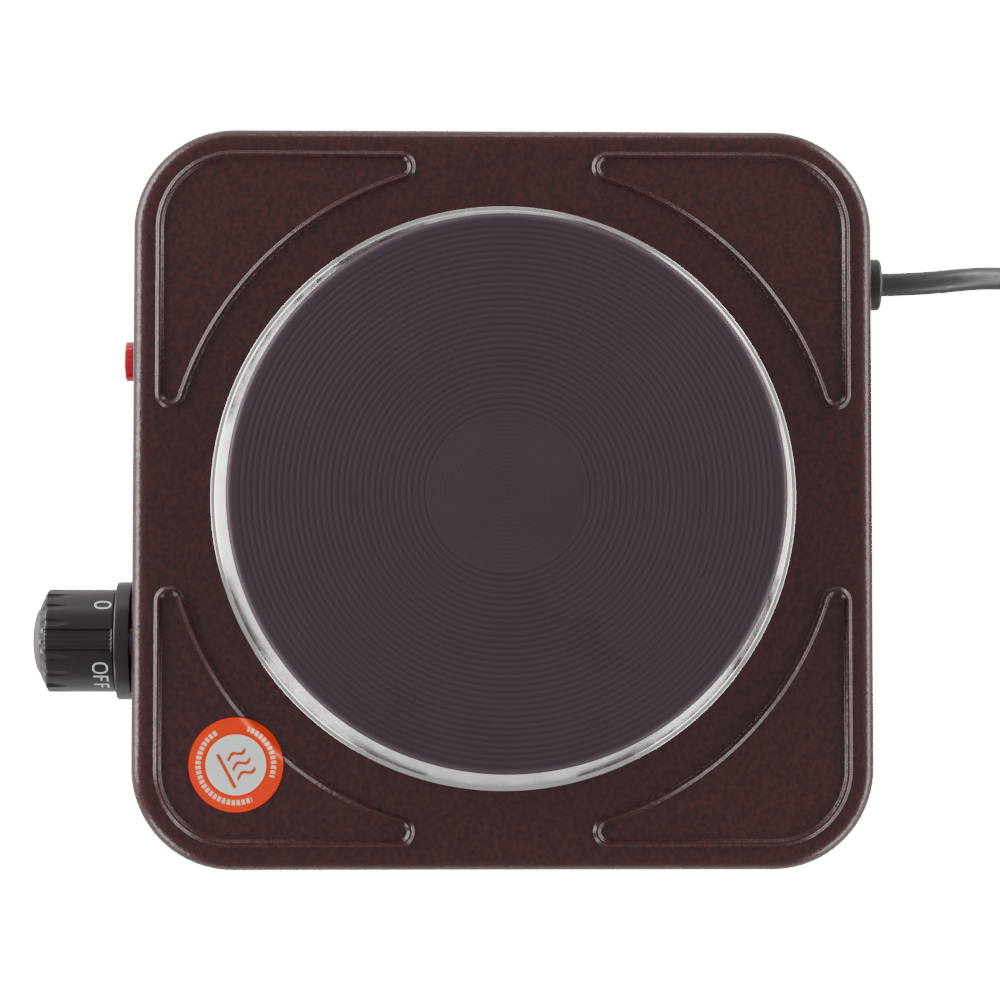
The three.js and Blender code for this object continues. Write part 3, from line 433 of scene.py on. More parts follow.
def tidy_mesh(mesh, sharp=32):
    """Faces outwards, smooth shading, and an edge wherever the surface turns by more than sharp degrees."""
    work = bmesh.new()
    work.from_mesh(mesh)
    bmesh.ops.remove_doubles(work, verts=work.verts, dist=1e-6)
    bmesh.ops.recalc_face_normals(work, faces=work.faces)
    work.to_mesh(mesh)
    work.free()
    mesh.shade_smooth()
    mesh.set_sharp_from_angle(angle=math.radians(sharp))


def place_piece(name, mesh, finish, body, nodes=(), sharp=32):
    """Puts a mesh in the scene as a piece of the hot plate."""
    tidy_mesh(mesh, sharp)
    mesh.materials.clear()
    mesh.materials.append(finish.material)
    made = bpy.data.objects.new(name, mesh)
    scene_objects.link(made)
    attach(made, body)
    if nodes:
        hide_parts(*nodes)
    return made


def mesh_of(name, places, faces):
    """A mesh from its places and its faces."""
    mesh = bpy.data.meshes.new(name)
    mesh.from_pydata([tuple(place) for place in places], [], faces)
    return mesh


def turned_rings(run, place, steps):
    """Rings round the local Z axis, one for each (across, along) millimetre pair of a run."""
    rings = []
    for across, along in run:
        if across < 1e-6:
            rings.append([place @ Vector((0, 0, along * mm))])
            continue
        ring = [spoke(across, step * 2 * math.pi / steps, along) for step in range(steps)]
        rings.append([place @ (point * mm) for point in ring])
    return rings


def turned(name, corners, place, steps=96, endless=False, rounding=4):
    """A turned shape: its half outline of (across, along, corner radius), in millimetres."""
    run = softened(corners, rounding)
    return mesh_of(name, *through_rings(turned_rings(run, place, steps), endless))


plug_radius = 18.5
plug_length = 44
plug_shoulder = 36
plug_tail_radius = 7
pin_radius = 2.4
pin_length = 19
pin_spacing = 19
plug_tilt = math.atan2(plug_radius - plug_tail_radius, plug_shoulder)
plug_place = (
    Matrix.Translation(plug_tail)
    @ Matrix.Rotation(-0.36, 4, "Z")
    @ Matrix.Rotation(-plug_tilt, 4, "Y")
)
along_plug = plug_place @ Matrix.Rotation(math.pi / 2, 4, "Y")

plug_finish = Finish("plug_plastic")
plug_sheen = plug_finish.noise(6)
plug_finish.tint(plug_sheen, paint(20, 19, 23), paint(31, 30, 34))
plug_finish.roughen(plug_finish.noise(1.2, 4), 0.36, 0.52)
plug_finish.bumps(plug_finish.noise(0.5, 4), 0.04, 0.6)

plug_outline = [(0, 0, 0), (plug_tail_radius - 1.2, 0, 0.5)]
rib_count = 5
rib_pitch = 2.6
for rib in range(rib_count):
    crest = plug_tail_radius - 0.4 + rib * 0.22
    start = 0.8 + rib * rib_pitch
    plug_outline += [(crest, start, 0.35), (crest, start + 1.5, 0.35)]
    plug_outline += [(crest - 1.1, start + 1.7, 0.2), (crest - 1.1, start + 2.4, 0.2)]
plug_outline += [
    (plug_tail_radius + 1.4, 14, 1), (plug_tail_radius + 4.4, 24, 8), (plug_tail_radius + 8, 32, 4),
    (plug_radius - 0.2, plug_shoulder, 1.2), (plug_radius - 0.1, plug_length - 0.2, 0.9),
    (plug_radius - 2.6, plug_length - 0.1, 0.3), (plug_radius - 3, plug_length - 0.6, 0.2),
    (0, plug_length - 0.6, 0),
]
plug_mesh = turned("plug", plug_outline, along_plug)
plug = place_piece("plug", plug_mesh, plug_finish, "housing", ["plug_body"])

pin_finish = Finish("nickel_plate", Metallic=1.0)
pin_wear = pin_finish.noise(1.2, 4, place=pin_finish.stretched(0.3, 1, 1))
pin_finish.set(Roughness=pin_finish.between(pin_wear, 0.35, 0.7, 0.16, 0.34))
pin_finish.tint(pin_wear, paint(186, 180, 168), paint(214, 210, 202))
pin_foot = plug_length
pin_end = plug_length + pin_length
pin_outline = [
    (0, pin_foot - 2, 0), (pin_radius + 0.7, pin_foot - 2, 0.2), (pin_radius + 0.7, pin_foot + 0.2, 0.4),
    (pin_radius - 0.1, pin_foot + 0.4, 0.2), (pin_radius - 0.1, pin_foot + 10, 0.1),
    (pin_radius, pin_foot + 10.1, 0.1), (pin_radius, pin_end - 2.2, 1.2),
    (pin_radius * 0.55, pin_end, 0.8), (0, pin_end, 0),
]
for number, side in enumerate((1, -1), 1):
    beside = Matrix.Translation(Vector((0, side * pin_spacing / 2 * mm, 0)))
    pin_mesh = turned("plug_pin", pin_outline, along_plug @ beside, 40)
    pin_node = f"plug_pin_{number}"
    pin = place_piece(f"pin_{number}", pin_mesh, pin_finish, "housing", [pin_node])

clip_finish = Finish("spring_brass", Metallic=1.0)
clip_tarnish = clip_finish.noise(1.6, 4)
clip_finish.tint(clip_tarnish, paint(168, 138, 78), paint(206, 182, 112))
clip_finish.roughen(clip_tarnish, 0.24, 0.42)


def dress(node, finish):
    """Gives a frame node that keeps its own shape a better material."""
    for slot in bpy.data.objects[node].material_slots:
        slot.material = finish.material


for number in (1, 2):
    dress(f"plug_earth_clip_{number}", clip_finish)

# The coil is held by a soft strap of hook-and-loop tape, its end lapped over on the outside.
strap_reach = 6.3
strap_low = 0.3
strap_high = 33.7
strap_sheet = 0.6
strap_corner = 3.2
strap_width = 4
lap_low = 8
lap_high = 27
lap_sheet = 0.7
strap_place = (
    Matrix.Translation(Vector((coil_middle.x, coil_middle.y, 0)))
    @ Matrix.Rotation(math.pi * 0.75, 4, "Z")
    @ Matrix.Translation(Vector((coil_turn_radius, 0, 0)))
)


def strap_outline(inset, lap):
    """The strap's closed outline round the coil's turns, seen along the lead."""
    reach, low, high = strap_reach - inset, strap_low + inset, strap_high - inset
    rounding = strap_corner - inset
    corners = [
        (0, low, 0), (reach, low, rounding), (reach, lap_low, 0), (reach + lap, lap_low + 0.1, 0),
        (reach + lap, lap_high - 0.1, 0), (reach, lap_high, 0), (reach, high, rounding),
        (-reach, high, rounding), (-reach, low, rounding), (0, low, 0),
    ]
    return softened(corners, 6)[:-1]


strap_rings = []
for inner, outer in zip(strap_outline(strap_sheet, 0), strap_outline(0, lap_sheet)):
    ring = []
    for (across, up), side in ((inner, -1), (inner, 1), (outer, 1), (outer, -1)):
        ring.append(strap_place @ (Vector((across, side * strap_width / 2, up)) * mm))
    strap_rings.append(ring)
tie_finish = Finish("tie_tape", Roughness=0.85, Specular_IOR_Level=0.2)
tie_loops = tie_finish.cells(0.5)
tie_finish.tint(tie_loops, paint(52, 50, 53), paint(26, 25, 27))
tie_finish.bumps(tie_loops, 0.2, 0.8)
strap_mesh = mesh_of("coil_strap", *through_rings(strap_rings, endless=True))
strap = place_piece("coil_strap", strap_mesh, tie_finish, "housing", ["coil_tie"], 40)

# ------------------------------------------------------------------ housing
# One deep-drawn steel shell with a raised bead round each corner field of its top, sprayed and
# stoved in dark brown hammertone paint. Its lower edge is turned in to take the base plate.
half_side = wall_side / mm
plate_rise = 12
shell_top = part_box("hot_plate")[1].z / mm - plate_rise
shell_foot = shell_low.z / mm
shell_corner = 33
shell_edge = 5
shell_sheet = 1
shell_hole = 86
flange_height = 2.5
flange_opening = 110
ray_count = 720


def outline_reach(angle, half, corner):
    """How far the outline of a square with round corners lies from its middle in a direction."""
    folded = abs((angle + math.pi / 4) % (math.pi / 2) - math.pi / 4)
    straight = half - corner
    if half * math.tan(folded) <= straight:
        return half / math.cos(folded)
    along = straight * (math.cos(folded) + math.sin(folded))
    return along + math.sqrt(along * along - 2 * straight * straight + corner * corner)


def square_ring(inset, height):
    """A ring of places on the shell, inset millimetres in from the outside of its walls."""
    ring = []
    for ray in range(ray_count):
        angle = ray * 2 * math.pi / ray_count
        reach = outline_reach(angle, half_side - inset, shell_corner - inset)
        ring.append(spoke(reach, angle, height))
    return ring


def round_ring(radius, height):
    """A ring of places about the shell's middle, one for each ray of its square rings."""
    return [spoke(radius, ray * 2 * math.pi / ray_count, height) for ray in range(ray_count)]


def across_face(inner, outer, count):
    """Rings that turn evenly from one ring into another."""
    return [[a.lerp(b, step / count) for a, b in zip(inner, outer)] for step in range(1, count)]


hole_edge = round_ring(shell_hole, shell_top)
face_edge = square_ring(shell_edge, shell_top)
skin = [hole_edge, *across_face(hole_edge, face_edge, 6), face_edge]
edge_steps = 12
for step in range(1, edge_steps + 1):
    turn = step / edge_steps * math.pi / 2
    inset = shell_edge * (1 - math.sin(turn))
    skin.append(square_ring(inset, shell_top - shell_edge * (1 - math.cos(turn))))
skin += [square_ring(0, height) for height in (45, 34, 22, shell_foot + 0.3)]
skin += [square_ring(0.3, shell_foot), square_ring(shell_sheet, shell_foot)]
skin += [square_ring(shell_sheet, shell_foot + flange_height)]
skin += [round_ring(flange_opening, shell_foot + flange_height)]
skin += [round_ring(flange_opening, shell_foot + flange_height + shell_sheet)]
skin += [square_ring(shell_sheet, shell_foot + flange_height + shell_sheet)]
skin += [square_ring(shell_sheet, shell_top - shell_edge)]
skin += [square_ring(shell_edge, shell_top - shell_sheet), round_ring(shell_hole, shell_top - shell_sheet)]
to_shell = Vector((0, middle.y, 0))
skin = [[place * mm + to_shell for place in ring] for ring in skin]

housing_finish = Finish("hammertone_brown", Specular_IOR_Level=0.45)
droplets = housing_finish.noise(1.5, 2, 0.5)
orange_peel = housing_finish.noise(0.75, 3)
cloud = housing_finish.noise(46, 2)
pooled = housing_finish.between(droplets, 0.34, 0.66)
housing_brown = housing_finish.mixed(cloud, paint(60, 26, 29), paint(69, 32, 35))
housing_brown = housing_finish.mixed(pooled * 0.9, housing_brown, paint(33, 12, 15))
housing_finish.tint(orange_peel * 0.25, housing_brown, paint(78, 44, 46))
housing_finish.set(Roughness=housing_finish.between(pooled, 0, 1, 0.2, 0.34))
housing_finish.bumps(pooled * 0.7 + orange_peel * 0.5, 0.09, 0.5)
skin_mesh = mesh_of("housing_skin", *through_rings(skin, endless=True))
place_piece("housing_skin", skin_mesh, housing_finish, "housing", ["housing_shell"], 40)

bead_width = 2.8
bead_height = 1.1
bead_inset = 8.8
bead_corner = 24
bead_tip_radius = 3.7
bead_tip_along = 33.6
bead_leg = half_side - bead_inset
bead_bow = math.hypot(bead_leg - bead_tip_radius, bead_tip_along) - bead_tip_radius


def bead_line():
    """The middle line of one corner's bead: two legs, the corner, two tips and the bow by the ring."""
    tip_angle = math.atan2(bead_tip_along, bead_leg - bead_tip_radius)
    tip = bead_leg - bead_tip_radius
    corner = bead_leg - bead_corner
    steps = 20
    line = []

    def arc(x, y, radius, begin, end, count):
        for step in range(count + 1):
            angle = begin + (end - begin) * step / count
            line.append(Vector((x, y, 0)) + spoke(radius, angle))

    half_turn = math.pi
    arc(corner, corner, bead_corner, 0, half_turn / 2, steps)
    arc(bead_tip_along, tip, bead_tip_radius, half_turn / 2, half_turn * 1.5 - tip_angle, steps)
    arc(0, 0, bead_bow, half_turn / 2 - tip_angle, tip_angle, steps * 3)
    arc(tip, bead_tip_along, bead_tip_radius, tip_angle - half_turn, 0, steps)
    return line


def nodes_tree(name, inputs):
    """An empty Geometry Nodes tree with a mesh or curve coming in, named sizes, and a mesh going out."""
    tree = bpy.data.node_groups.new(name, "GeometryNodeTree")
    tree.interface.new_socket("Geometry", in_out="INPUT", socket_type="NodeSocketGeometry")
    tree.interface.new_socket("Geometry", in_out="OUTPUT", socket_type="NodeSocketGeometry")
    for label, kind in inputs.items():
        tree.interface.new_socket(label, in_out="INPUT", socket_type=kind)
    return tree


class Steps:
    """Adds nodes to a Geometry Nodes tree, one call for each."""

    def __init__(self, tree):
        self.tree = tree
        self.sizes = tree.nodes.new("NodeGroupInput")

    def size(self, label):
        return Reading(self.sizes.outputs[label])

    def add(self, kind, settings=None, values=None):
        return add_node(self.tree, kind, settings, values)

    def finish_with(self, instances, material):
        """Makes the instances real, gives them their material and ends the tree."""
        real = self.add("GeometryNodeRealizeInstances", None, {0: instances})
        painted = self.add("GeometryNodeSetMaterial", None, {0: real.outputs[0], 2: material})
        plug_in(self.tree.nodes.new("NodeGroupOutput").inputs[0], painted.outputs[0])


def grown(name, start, tree, sizes):
    """Runs a tree on a starting object with its sizes set, and returns the result as a plain mesh."""
    scene_objects.link(start)
    modifier = start.modifiers.new(name, "NODES")
    modifier.node_group = tree
    for item in tree.interface.items_tree:
        if item.item_type == "SOCKET" and item.in_out == "INPUT" and item.name in sizes:
            modifier[item.identifier] = sizes[item.name]
    ready = start.evaluated_get(bpy.context.evaluated_depsgraph_get())
    mesh = bpy.data.meshes.new_from_object(ready)
    mesh.name = name
    start.modifiers.remove(modifier)
    bpy.data.objects.remove(start)
    return mesh


def bead_tree():
    """A ridge of a cosine section along a line on the shell, repeated at the four corners."""
    tree = nodes_tree("corner_beads", {"Width": "NodeSocketFloat", "Height": "NodeSocketFloat"})
    steps = Steps(tree)
    width, height = steps.size("Width"), steps.size("Height")
    half_width = steps.add("ShaderNodeCombineXYZ", None, {"X": width * 0.5}).outputs[0]
    other_half = steps.add("ShaderNodeCombineXYZ", None, {"X": width * -0.5}).outputs[0]
    line = steps.add("GeometryNodeCurvePrimitiveLine", None, {"Start": half_width, "End": other_half})
    fine = steps.add("GeometryNodeResampleCurve", None, {"Curve": line.outputs[0], "Count": 19})
    here = steps.add("GeometryNodeInputPosition").outputs[0]
    across = Reading(steps.add("ShaderNodeSeparateXYZ", None, {0: here}).outputs["X"])
    rise = (across / width * math.pi).cosine() ** 1.5 * height * -1
    lift = steps.add("ShaderNodeCombineXYZ", None, {"Y": rise}).outputs[0]
    section = steps.add("GeometryNodeSetPosition", None, {"Geometry": fine.outputs[0], "Offset": lift})
    closed = steps.add("GeometryNodeSetSplineCyclic", None, {0: section.outputs[0], "Cyclic": True})
    level = steps.add("GeometryNodeSetCurveNormal", {"mode": "Z_UP"}, {0: steps.sizes.outputs["Geometry"]})
    ridge = steps.add(
        "GeometryNodeCurveToMesh", None,
        {"Curve": level.outputs[0], "Profile Curve": closed.outputs[0]},
    )
    corners = steps.add("GeometryNodePoints", None, {"Count": 4})
    number = Reading(steps.add("GeometryNodeInputIndex").outputs[0])
    quarter = steps.add("ShaderNodeCombineXYZ", None, {"Z": number * (math.pi / 2)}).outputs[0]
    set_round = steps.add(
        "GeometryNodeInstanceOnPoints", None,
        {"Points": corners.outputs[0], "Instance": ridge.outputs[0], "Rotation": quarter},
    )
    steps.finish_with(set_round.outputs[0], housing_finish.material)
    return tree


bead_start = line_of("bead_line", [place * mm for place in bead_line()], endless=True)
bead_sizes = {"Width": bead_width * mm, "Height": bead_height * mm}
bead_mesh = grown("corner_beads", bead_start, bead_tree(), bead_sizes)
bead_mesh.transform(Matrix.Translation(to_shell + Vector((0, 0, (shell_top - 0.02) * mm))))
place_piece("corner_beads", bead_mesh, housing_finish, "housing", (), 60)

# ------------------------------------------------------------------ base plate, feet and screws
# The base is a zinc-plated steel plate with vent slots. Four moulded rubber feet stand under its
# corners, each held by a cross-head screw that also draws the plate up against the shell.
zinc_finish = Finish("zinc_plate", Metallic=1.0)
spangle = zinc_finish.cells(7, "F1")
zinc_cloud = zinc_finish.noise(16, 4)
zinc_finish.tint(spangle, paint(150, 152, 154), paint(188, 190, 190))
zinc_finish.roughen(zinc_cloud, 0.3, 0.5)
zinc_finish.bumps(zinc_finish.noise(0.8, 4), 0.03, 0.5)
dress("base_plate", zinc_finish)

foot_radius = 10
foot_height = 10.9
screw_recess = 4
foot_along = half_side - 28
foot_finish = Finish("foot_rubber", Specular_IOR_Level=0.3)
foot_dust = foot_finish.noise(4, 5)
foot_finish.tint(foot_dust, paint(24, 23, 24), paint(44, 42, 42))
foot_finish.roughen(foot_dust, 0.66, 0.88)
foot_finish.bumps(foot_finish.noise(0.4, 4), 0.05, 0.6)


def four_copies_tree(name, finish):
    """A mesh repeated at the four corners, Spread metres from both middle planes."""
    tree = nodes_tree(name, {"Spread": "NodeSocketFloat"})
    steps = Steps(tree)
    spread = steps.size("Spread")
    grid = steps.add(
        "GeometryNodeMeshGrid", None,
        {"Size X": spread * 2, "Size Y": spread * 2, "Vertices X": 2, "Vertices Y": 2},
    )
    copies = steps.add(
        "GeometryNodeInstanceOnPoints", None,
        {"Points": grid.outputs[0], "Instance": steps.sizes.outputs["Geometry"]},
    )
    steps.finish_with(copies.outputs[0], finish.material)
    return tree


def at_four_corners(name, outline, finish, steps):
    """A turned shape of the given outline under each corner of the base plate."""
    places, faces = through_rings(turned_rings(softened(outline), Matrix(), steps))
    start = bpy.data.objects.new(name, mesh_of(name, places, faces))
    mesh = grown(name, start, four_copies_tree(name, finish), {"Spread": foot_along * mm})
    mesh.transform(Matrix.Translation(to_shell))
    return mesh


foot_outline = [
    (2.2, screw_recess, 0), (4.3, screw_recess, 0.3), (4.3, 0, 0.6), (6, 0, 0.3), (6.3, 0.5, 0.2),
    (7.2, 0.5, 0.2), (7.5, 0, 0.3), (foot_radius - 1, 0, 0.8), (foot_radius - 0.5, 5.5, 0.4),
    (foot_radius, 6, 0.3), (foot_radius, foot_height, 0.6), (2.2, foot_height, 0), (2.2, screw_recess, 0),
]
feet_mesh = at_four_corners("feet", foot_outline, foot_finish, 64)
foot_nodes = [f"foot_{number}" for number in (1, 2, 3, 4)]
place_piece("feet", feet_mesh, foot_finish, "housing", foot_nodes)

screw_outline = [
    (0, 2.5, 0), (0.5, 2.4, 0.1), (0.9, 1.45, 0.1), (2.6, 1.25, 0.6), (3.9, 2.4, 0.6), (4, 3.7, 0.2),
    (1.75, 3.7, 0.2), (1.75, 14.5, 0.3), (0, 14.5, 0),
]
screws_mesh = at_four_corners("foot_screws", screw_outline, zinc_finish, 40)
screw_nodes = [f"foot_screw_{number}" for number in (1, 2, 3, 4)]
place_piece("foot_screws", screws_mesh, zinc_finish, "housing", screw_nodes)

# ------------------------------------------------------------------ sticker
# A round vinyl sticker in the corner by the knob, printed orange round a pale disc with a sign for
# heat. It was pressed on by hand, over the bead, whose shape shows through it.
sticker_radius = 15.2
sticker_low, sticker_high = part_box("sticker")
sticker_middle = (sticker_low + sticker_high) / 2
sticker_skin = 0.2
sticker_drape = 0.6
sticker_lift = 0.02


def bead_rise(x, y):
    """How high the bead's bow lifts the sticker, at a place measured from the shell's middle."""
    draped_half = bead_width / 2 + sticker_drape
    beside = abs(math.hypot(x, y) - bead_bow)
    if beside >= draped_half:
        return 0
    return bead_height * math.cos(beside / draped_half * math.pi / 2) ** 1.5


def sticker_place(across, angle, lift):
    """A place on the sticker: from its middle, round it, and up from the shell's face."""
    x = sticker_middle.x / mm + across * math.cos(angle)
    y = (sticker_middle.y - middle.y) / mm + across * math.sin(angle)
    height = shell_top + lift + bead_rise(x, y)
    return Vector((x, y, height)) * mm + to_shell


sticker_steps = 40
sticker_spokes = 240
sticker_across = [sticker_radius * step / sticker_steps for step in range(1, sticker_steps + 1)]
sticker_angles = [spoke_number * 2 * math.pi / sticker_spokes for spoke_number in range(sticker_spokes)]
sticker_rings = [[sticker_place(0, 0, sticker_lift)]]
for lift, run in ((sticker_lift, sticker_across), (sticker_skin, sticker_across[::-1])):
    for across in run:
        sticker_rings.append([sticker_place(across, angle, lift) for angle in sticker_angles])
sticker_rings.append([sticker_place(0, 0, sticker_skin)])

print_finish = Finish("sticker_print", Specular_IOR_Level=0.2)
to_sticker = print_finish.add(
    "ShaderNodeVectorMath", {"operation": "SUBTRACT"}, {0: print_finish.place, 1: sticker_middle}
).outputs[0]
down, along_y, _ = print_finish.axes(to_sticker)
down, along_y = down / mm, along_y / mm
from_middle = (down * down + along_y * along_y) ** 0.5
disc_radius = 9.7


def band(reading, low, high, edge=0.14):
    """1 where a reading lies from low to high, with an edge as soft as printed ink's."""
    enters = print_finish.between(reading, low - edge, low + edge)
    leaves = print_finish.between(reading, high - edge, high + edge)
    return enters * (1 - leaves)


sign_lean = math.radians(28.2)
along_bar = down * math.cos(sign_lean) + along_y * math.sin(sign_lean)
up_sign = along_y * math.cos(sign_lean) - down * math.sin(sign_lean)
bar_level = -3.6
wave_length = 5.6
bar = band(up_sign, bar_level - 0.6, bar_level + 0.6) * band(along_bar, -5.8, 6.5)
sway = ((up_sign - bar_level - 4.3) * (2 * math.pi / wave_length)).cosine() * 0.65
waves = sum(band(along_bar + sway - offset, -0.58, 0.58) for offset in (-3.0, 0.4, 3.8))
sign = (bar + waves * band(up_sign, bar_level + 1.9, bar_level + 8.7)).at_most(1)
clock = (along_y.direction_with(down * -1) * (180 / math.pi)).wrapped(360)
dash_count = 48
beat = (clock * (dash_count / 360)).wrapped(1)
dashes = band(beat, 0.14, 0.8, 0.05) * band(from_middle, 11.3, 12.9)
dashes = dashes * (band(clock, 18, 109, 0.5) + band(clock, 155, 330, 0.5))

ink_orange = print_finish.mixed(print_finish.noise(5), paint(232, 46, 0), paint(240, 56, 0))
pale_disc = print_finish.mixed(print_finish.noise(4), paint(214, 222, 222), paint(226, 230, 226))
rim_shadow = band(from_middle, disc_radius + 0.1, disc_radius + 0.7)
printed = print_finish.mixed(rim_shadow, ink_orange, paint(214, 50, 6))
printed = print_finish.mixed(band(from_middle, -1, disc_radius), printed, paint(252, 232, 208))
printed = print_finish.mixed(band(from_middle, -1, disc_radius - 0.5), printed, pale_disc)
printed = print_finish.mixed(sign, printed, paint(206, 70, 30))
printed = print_finish.mixed(dashes, printed, paint(255, 214, 186))
print_finish.set(Base_Color=printed)
print_finish.roughen(print_finish.noise(3), 0.28, 0.42)
print_finish.bumps(print_finish.noise(2.2, 3), 0.05, 0.4)
sticker_mesh = mesh_of("sticker_vinyl", *through_rings(sticker_rings))
place_piece("sticker_vinyl", sticker_mesh, print_finish, "housing", ["sticker"], 50)

# ------------------------------------------------------------------ trim ring
# A ring spun from bright stainless steel. Its lip lies on the shell, and a steep collar rises from
# it to just under the rim of the hot plate, so that spilt water runs off outside the hole.
ring_radius = 94.5
lip = shell_top + 0.3
ledge = shell_top + plate_rise - 4.3
ring_outline = [
    (ring_radius, lip, 0), (ring_radius, lip + 0.8, 0.35), (93.1, lip + 1.15, 0.9), (88, ledge - 0.5, 1.2),
    (86.8, ledge, 0.4), (84.5, ledge, 0.2), (84.5, ledge - 0.8, 0.2), (86.5, ledge - 0.8, 0.3),
    (87.3, ledge - 1.12, 0.8), (92.6, lip, 0.6), (ring_radius, lip, 0),
]
ring_finish = Finish("polished_steel", Metallic=1.0)
ring_wear = ring_finish.noise(7, 5)
spun_lines = ring_finish.noise(0.7, 3, place=ring_finish.stretched(0.05, 0.05, 3))
ring_finish.tint(ring_wear, paint(216, 213, 210), paint(232, 229, 225))
ring_finish.roughen(ring_wear, 0.1, 0.22)
ring_finish.bumps(spun_lines, 0.01, 0.4)
ring_mesh = turned("bright_ring", ring_outline, Matrix.Translation(to_shell), 288)
place_piece("bright_ring", ring_mesh, ring_finish, "housing", ["trim_ring"], 50)

# ------------------------------------------------------------------ hot plate
# A grey-iron casting, blackened and baked. Its face is turned with fine concentric grooves, plain
# in the middle and at the edge; below are the rim, the skirt round the element, and a boss.
plate_low, plate_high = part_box("hot_plate")
plate_middle = Vector(((plate_low.x + plate_high.x) / 2, (plate_low.y + plate_high.y) / 2, 0))
plate_top = plate_high.z / mm
plate_radius = 90
groove_pitch = 1.97
centre_pitch = 1.47
groove_depth = 0.2
face_sunk = 0.1
grooves_begin = 25.4
groove_count = 31
steps_per_groove = 6

plate_face = [(0, plate_top - face_sunk)]
centre_steps = 100
for step in range(1, centre_steps):
    across = step * grooves_begin / centre_steps
    ripple = 0.02 * math.cos(across * 2 * math.pi / centre_pitch)
    plate_face.append((across, plate_top - face_sunk + ripple))
for step in range(groove_count * steps_per_groove + 1):
    across = grooves_begin + step * groove_pitch / steps_per_groove
    wave = math.cos(step * 2 * math.pi / steps_per_groove)
    plate_face.append((across, plate_top - groove_depth * (0.5 - 0.5 * wave)))
plate_drops = [
    (plate_radius - 2.9, face_sunk, 0.3), (plate_radius - 1, 0.25, 1.2), (plate_radius, 1.4, 0.6),
    (plate_radius, 4, 0.4), (82, 4, 0.8), (82, 14, 0.5), (79, 14, 0.5), (79, 7, 1), (11, 7, 1),
    (11, 14, 0.5), (4.3, 14, 0.3), (4.3, 4.7, 0.2), (0, 4.7, 0),
]
plate_under = [(across, plate_top - drop, rounding) for across, drop, rounding in plate_drops]
plate_run = plate_face + [tuple(place) for place in softened(plate_under)]
iron_finish = Finish("blackened_iron", Metallic=0.35, Specular_IOR_Level=0.4)
iron_grain = iron_finish.noise(0.7, 4)
iron_cloud = iron_finish.noise(30, 3)
x, y, _ = iron_finish.axes()
off_x, off_y = x - plate_middle.x, y - plate_middle.y
turning = (off_x * off_x + off_y * off_y) ** 0.5 / mm
turning_mark_rate = 7.6
turning_marks = (turning * turning_mark_rate).cosine() * 0.5 + 0.5
edge_band = iron_finish.between(turning, 88, 88.5)
iron_grey = iron_finish.mixed(iron_cloud, paint(65, 49, 59), paint(75, 58, 68))
iron_grey = iron_finish.mixed(iron_grain * 0.5, iron_grey, paint(45, 34, 41))
# Painted shade: the iron is darkened in the bottoms of the turned grooves and of the faint ripples in the
# middle.
groove_phase = (turning - grooves_begin) * (2 * math.pi / groove_pitch)
groove_shade = (0.5 - groove_phase.cosine() * 0.5) * (turning > grooves_begin) * (1 - edge_band)
centre_phase = turning * (2 * math.pi / centre_pitch)
centre_ring_shade = (0.5 - centre_phase.cosine() * 0.5) * (turning < grooves_begin)
groove_shade = groove_shade + centre_ring_shade * 0.35
iron_grey = iron_finish.mixed(groove_shade * 0.28, iron_grey, paint(30, 21, 27))
# The smooth band at the rim is real, but its lighter olive-grey tint is a painted reflection.
iron_finish.tint(edge_band * 0.3, iron_grey, paint(84, 80, 72))
iron_finish.set(Roughness=iron_finish.between(iron_grain, 0.3, 0.7, 0.46, 0.64) + edge_band * 0.05)
iron_finish.bumps(iron_grain * 0.6 + turning_marks * 0.5 * (1 - edge_band), 0.035, 0.6)
iron_rings = turned_rings(plate_run, Matrix.Translation(plate_middle), 288)
iron_mesh = mesh_of("iron_plate", *through_rings(iron_rings))
place_piece("iron_plate", iron_mesh, iron_finish, "housing", ["hot_plate"], 45)

# ------------------------------------------------------------------ what lies under the hot plate
# The tubular element, its steel cover and ceramic sleeves, the stud with the bar that clamps the
# plate down, and the bright heat shield over the wiring. All of it is closed in by the shell.
element_finish = Finish("element_sheath", Metallic=0.9)
oxide = element_finish.noise(6, 5)
element_finish.tint(oxide, paint(92, 88, 84), paint(132, 122, 108))
element_finish.roughen(oxide, 0.35, 0.6)
dress("heating_element", element_finish)

ceramic_finish = Finish("steatite", Roughness=0.5)
speck = ceramic_finish.noise(0.6, 4)
ceramic_finish.tint(speck, paint(216, 208, 190), paint(236, 230, 216))
ceramic_finish.bumps(speck, 0.03)
dress("element_insulator_1", ceramic_finish)
dress("element_insulator_2", ceramic_finish)

clamp_nodes = ("clamp_stud", "stud_spacer", "clamp_bar", "clamp_washer", "clamp_nut")
for node in ("element_cover", *clamp_nodes, "shield_nut"):
    dress(node, zinc_finish)
dress("heat_shield", ring_finish)

# ------------------------------------------------------------------ knob
# A knob of black thermosetting plastic on the thermostat's spindle, with a wide skirt at its back.
# It is moulded with finger flutes, and a ribbed channel marks its pointer side. A matt grey cap
# closes the front. The figures are printed in white.
knob_x = 45.9
control_z = 34
knob_radius = 16.85
knob_front = 30.2
knob_back = 6.3
knob_shoulder = 1.8
cap_radius = 12.5
flute_count = 18
flute_length = 9.5
flute_depth = 1.3
channel_width = 7.5
channel_depth = 0.8
channel_rib_pitch = 1.5
knob_spokes = 900


def out_of_wall(x, wall, height, side):
    """A frame on the front (side -1) or rear (side 1) wall, its Z axis straight out of it."""
    return Matrix.Translation((x, wall, height)) @ Matrix.Rotation(-side * math.pi / 2, 4, "X")


knob_place = out_of_wall(knob_x * mm, front, control_z * mm, -1)

plastic_finish = Finish("knob_plastic", Specular_IOR_Level=0.42)
plastic_cloud = plastic_finish.noise(8, 3)
plastic_fine = plastic_finish.noise(0.9, 3)
plastic_finish.tint(plastic_cloud, paint(34, 24, 32), paint(42, 31, 39))
plastic_finish.roughen(plastic_fine, 0.3, 0.38)
plastic_finish.bumps(plastic_fine, 0.006, 0.4)


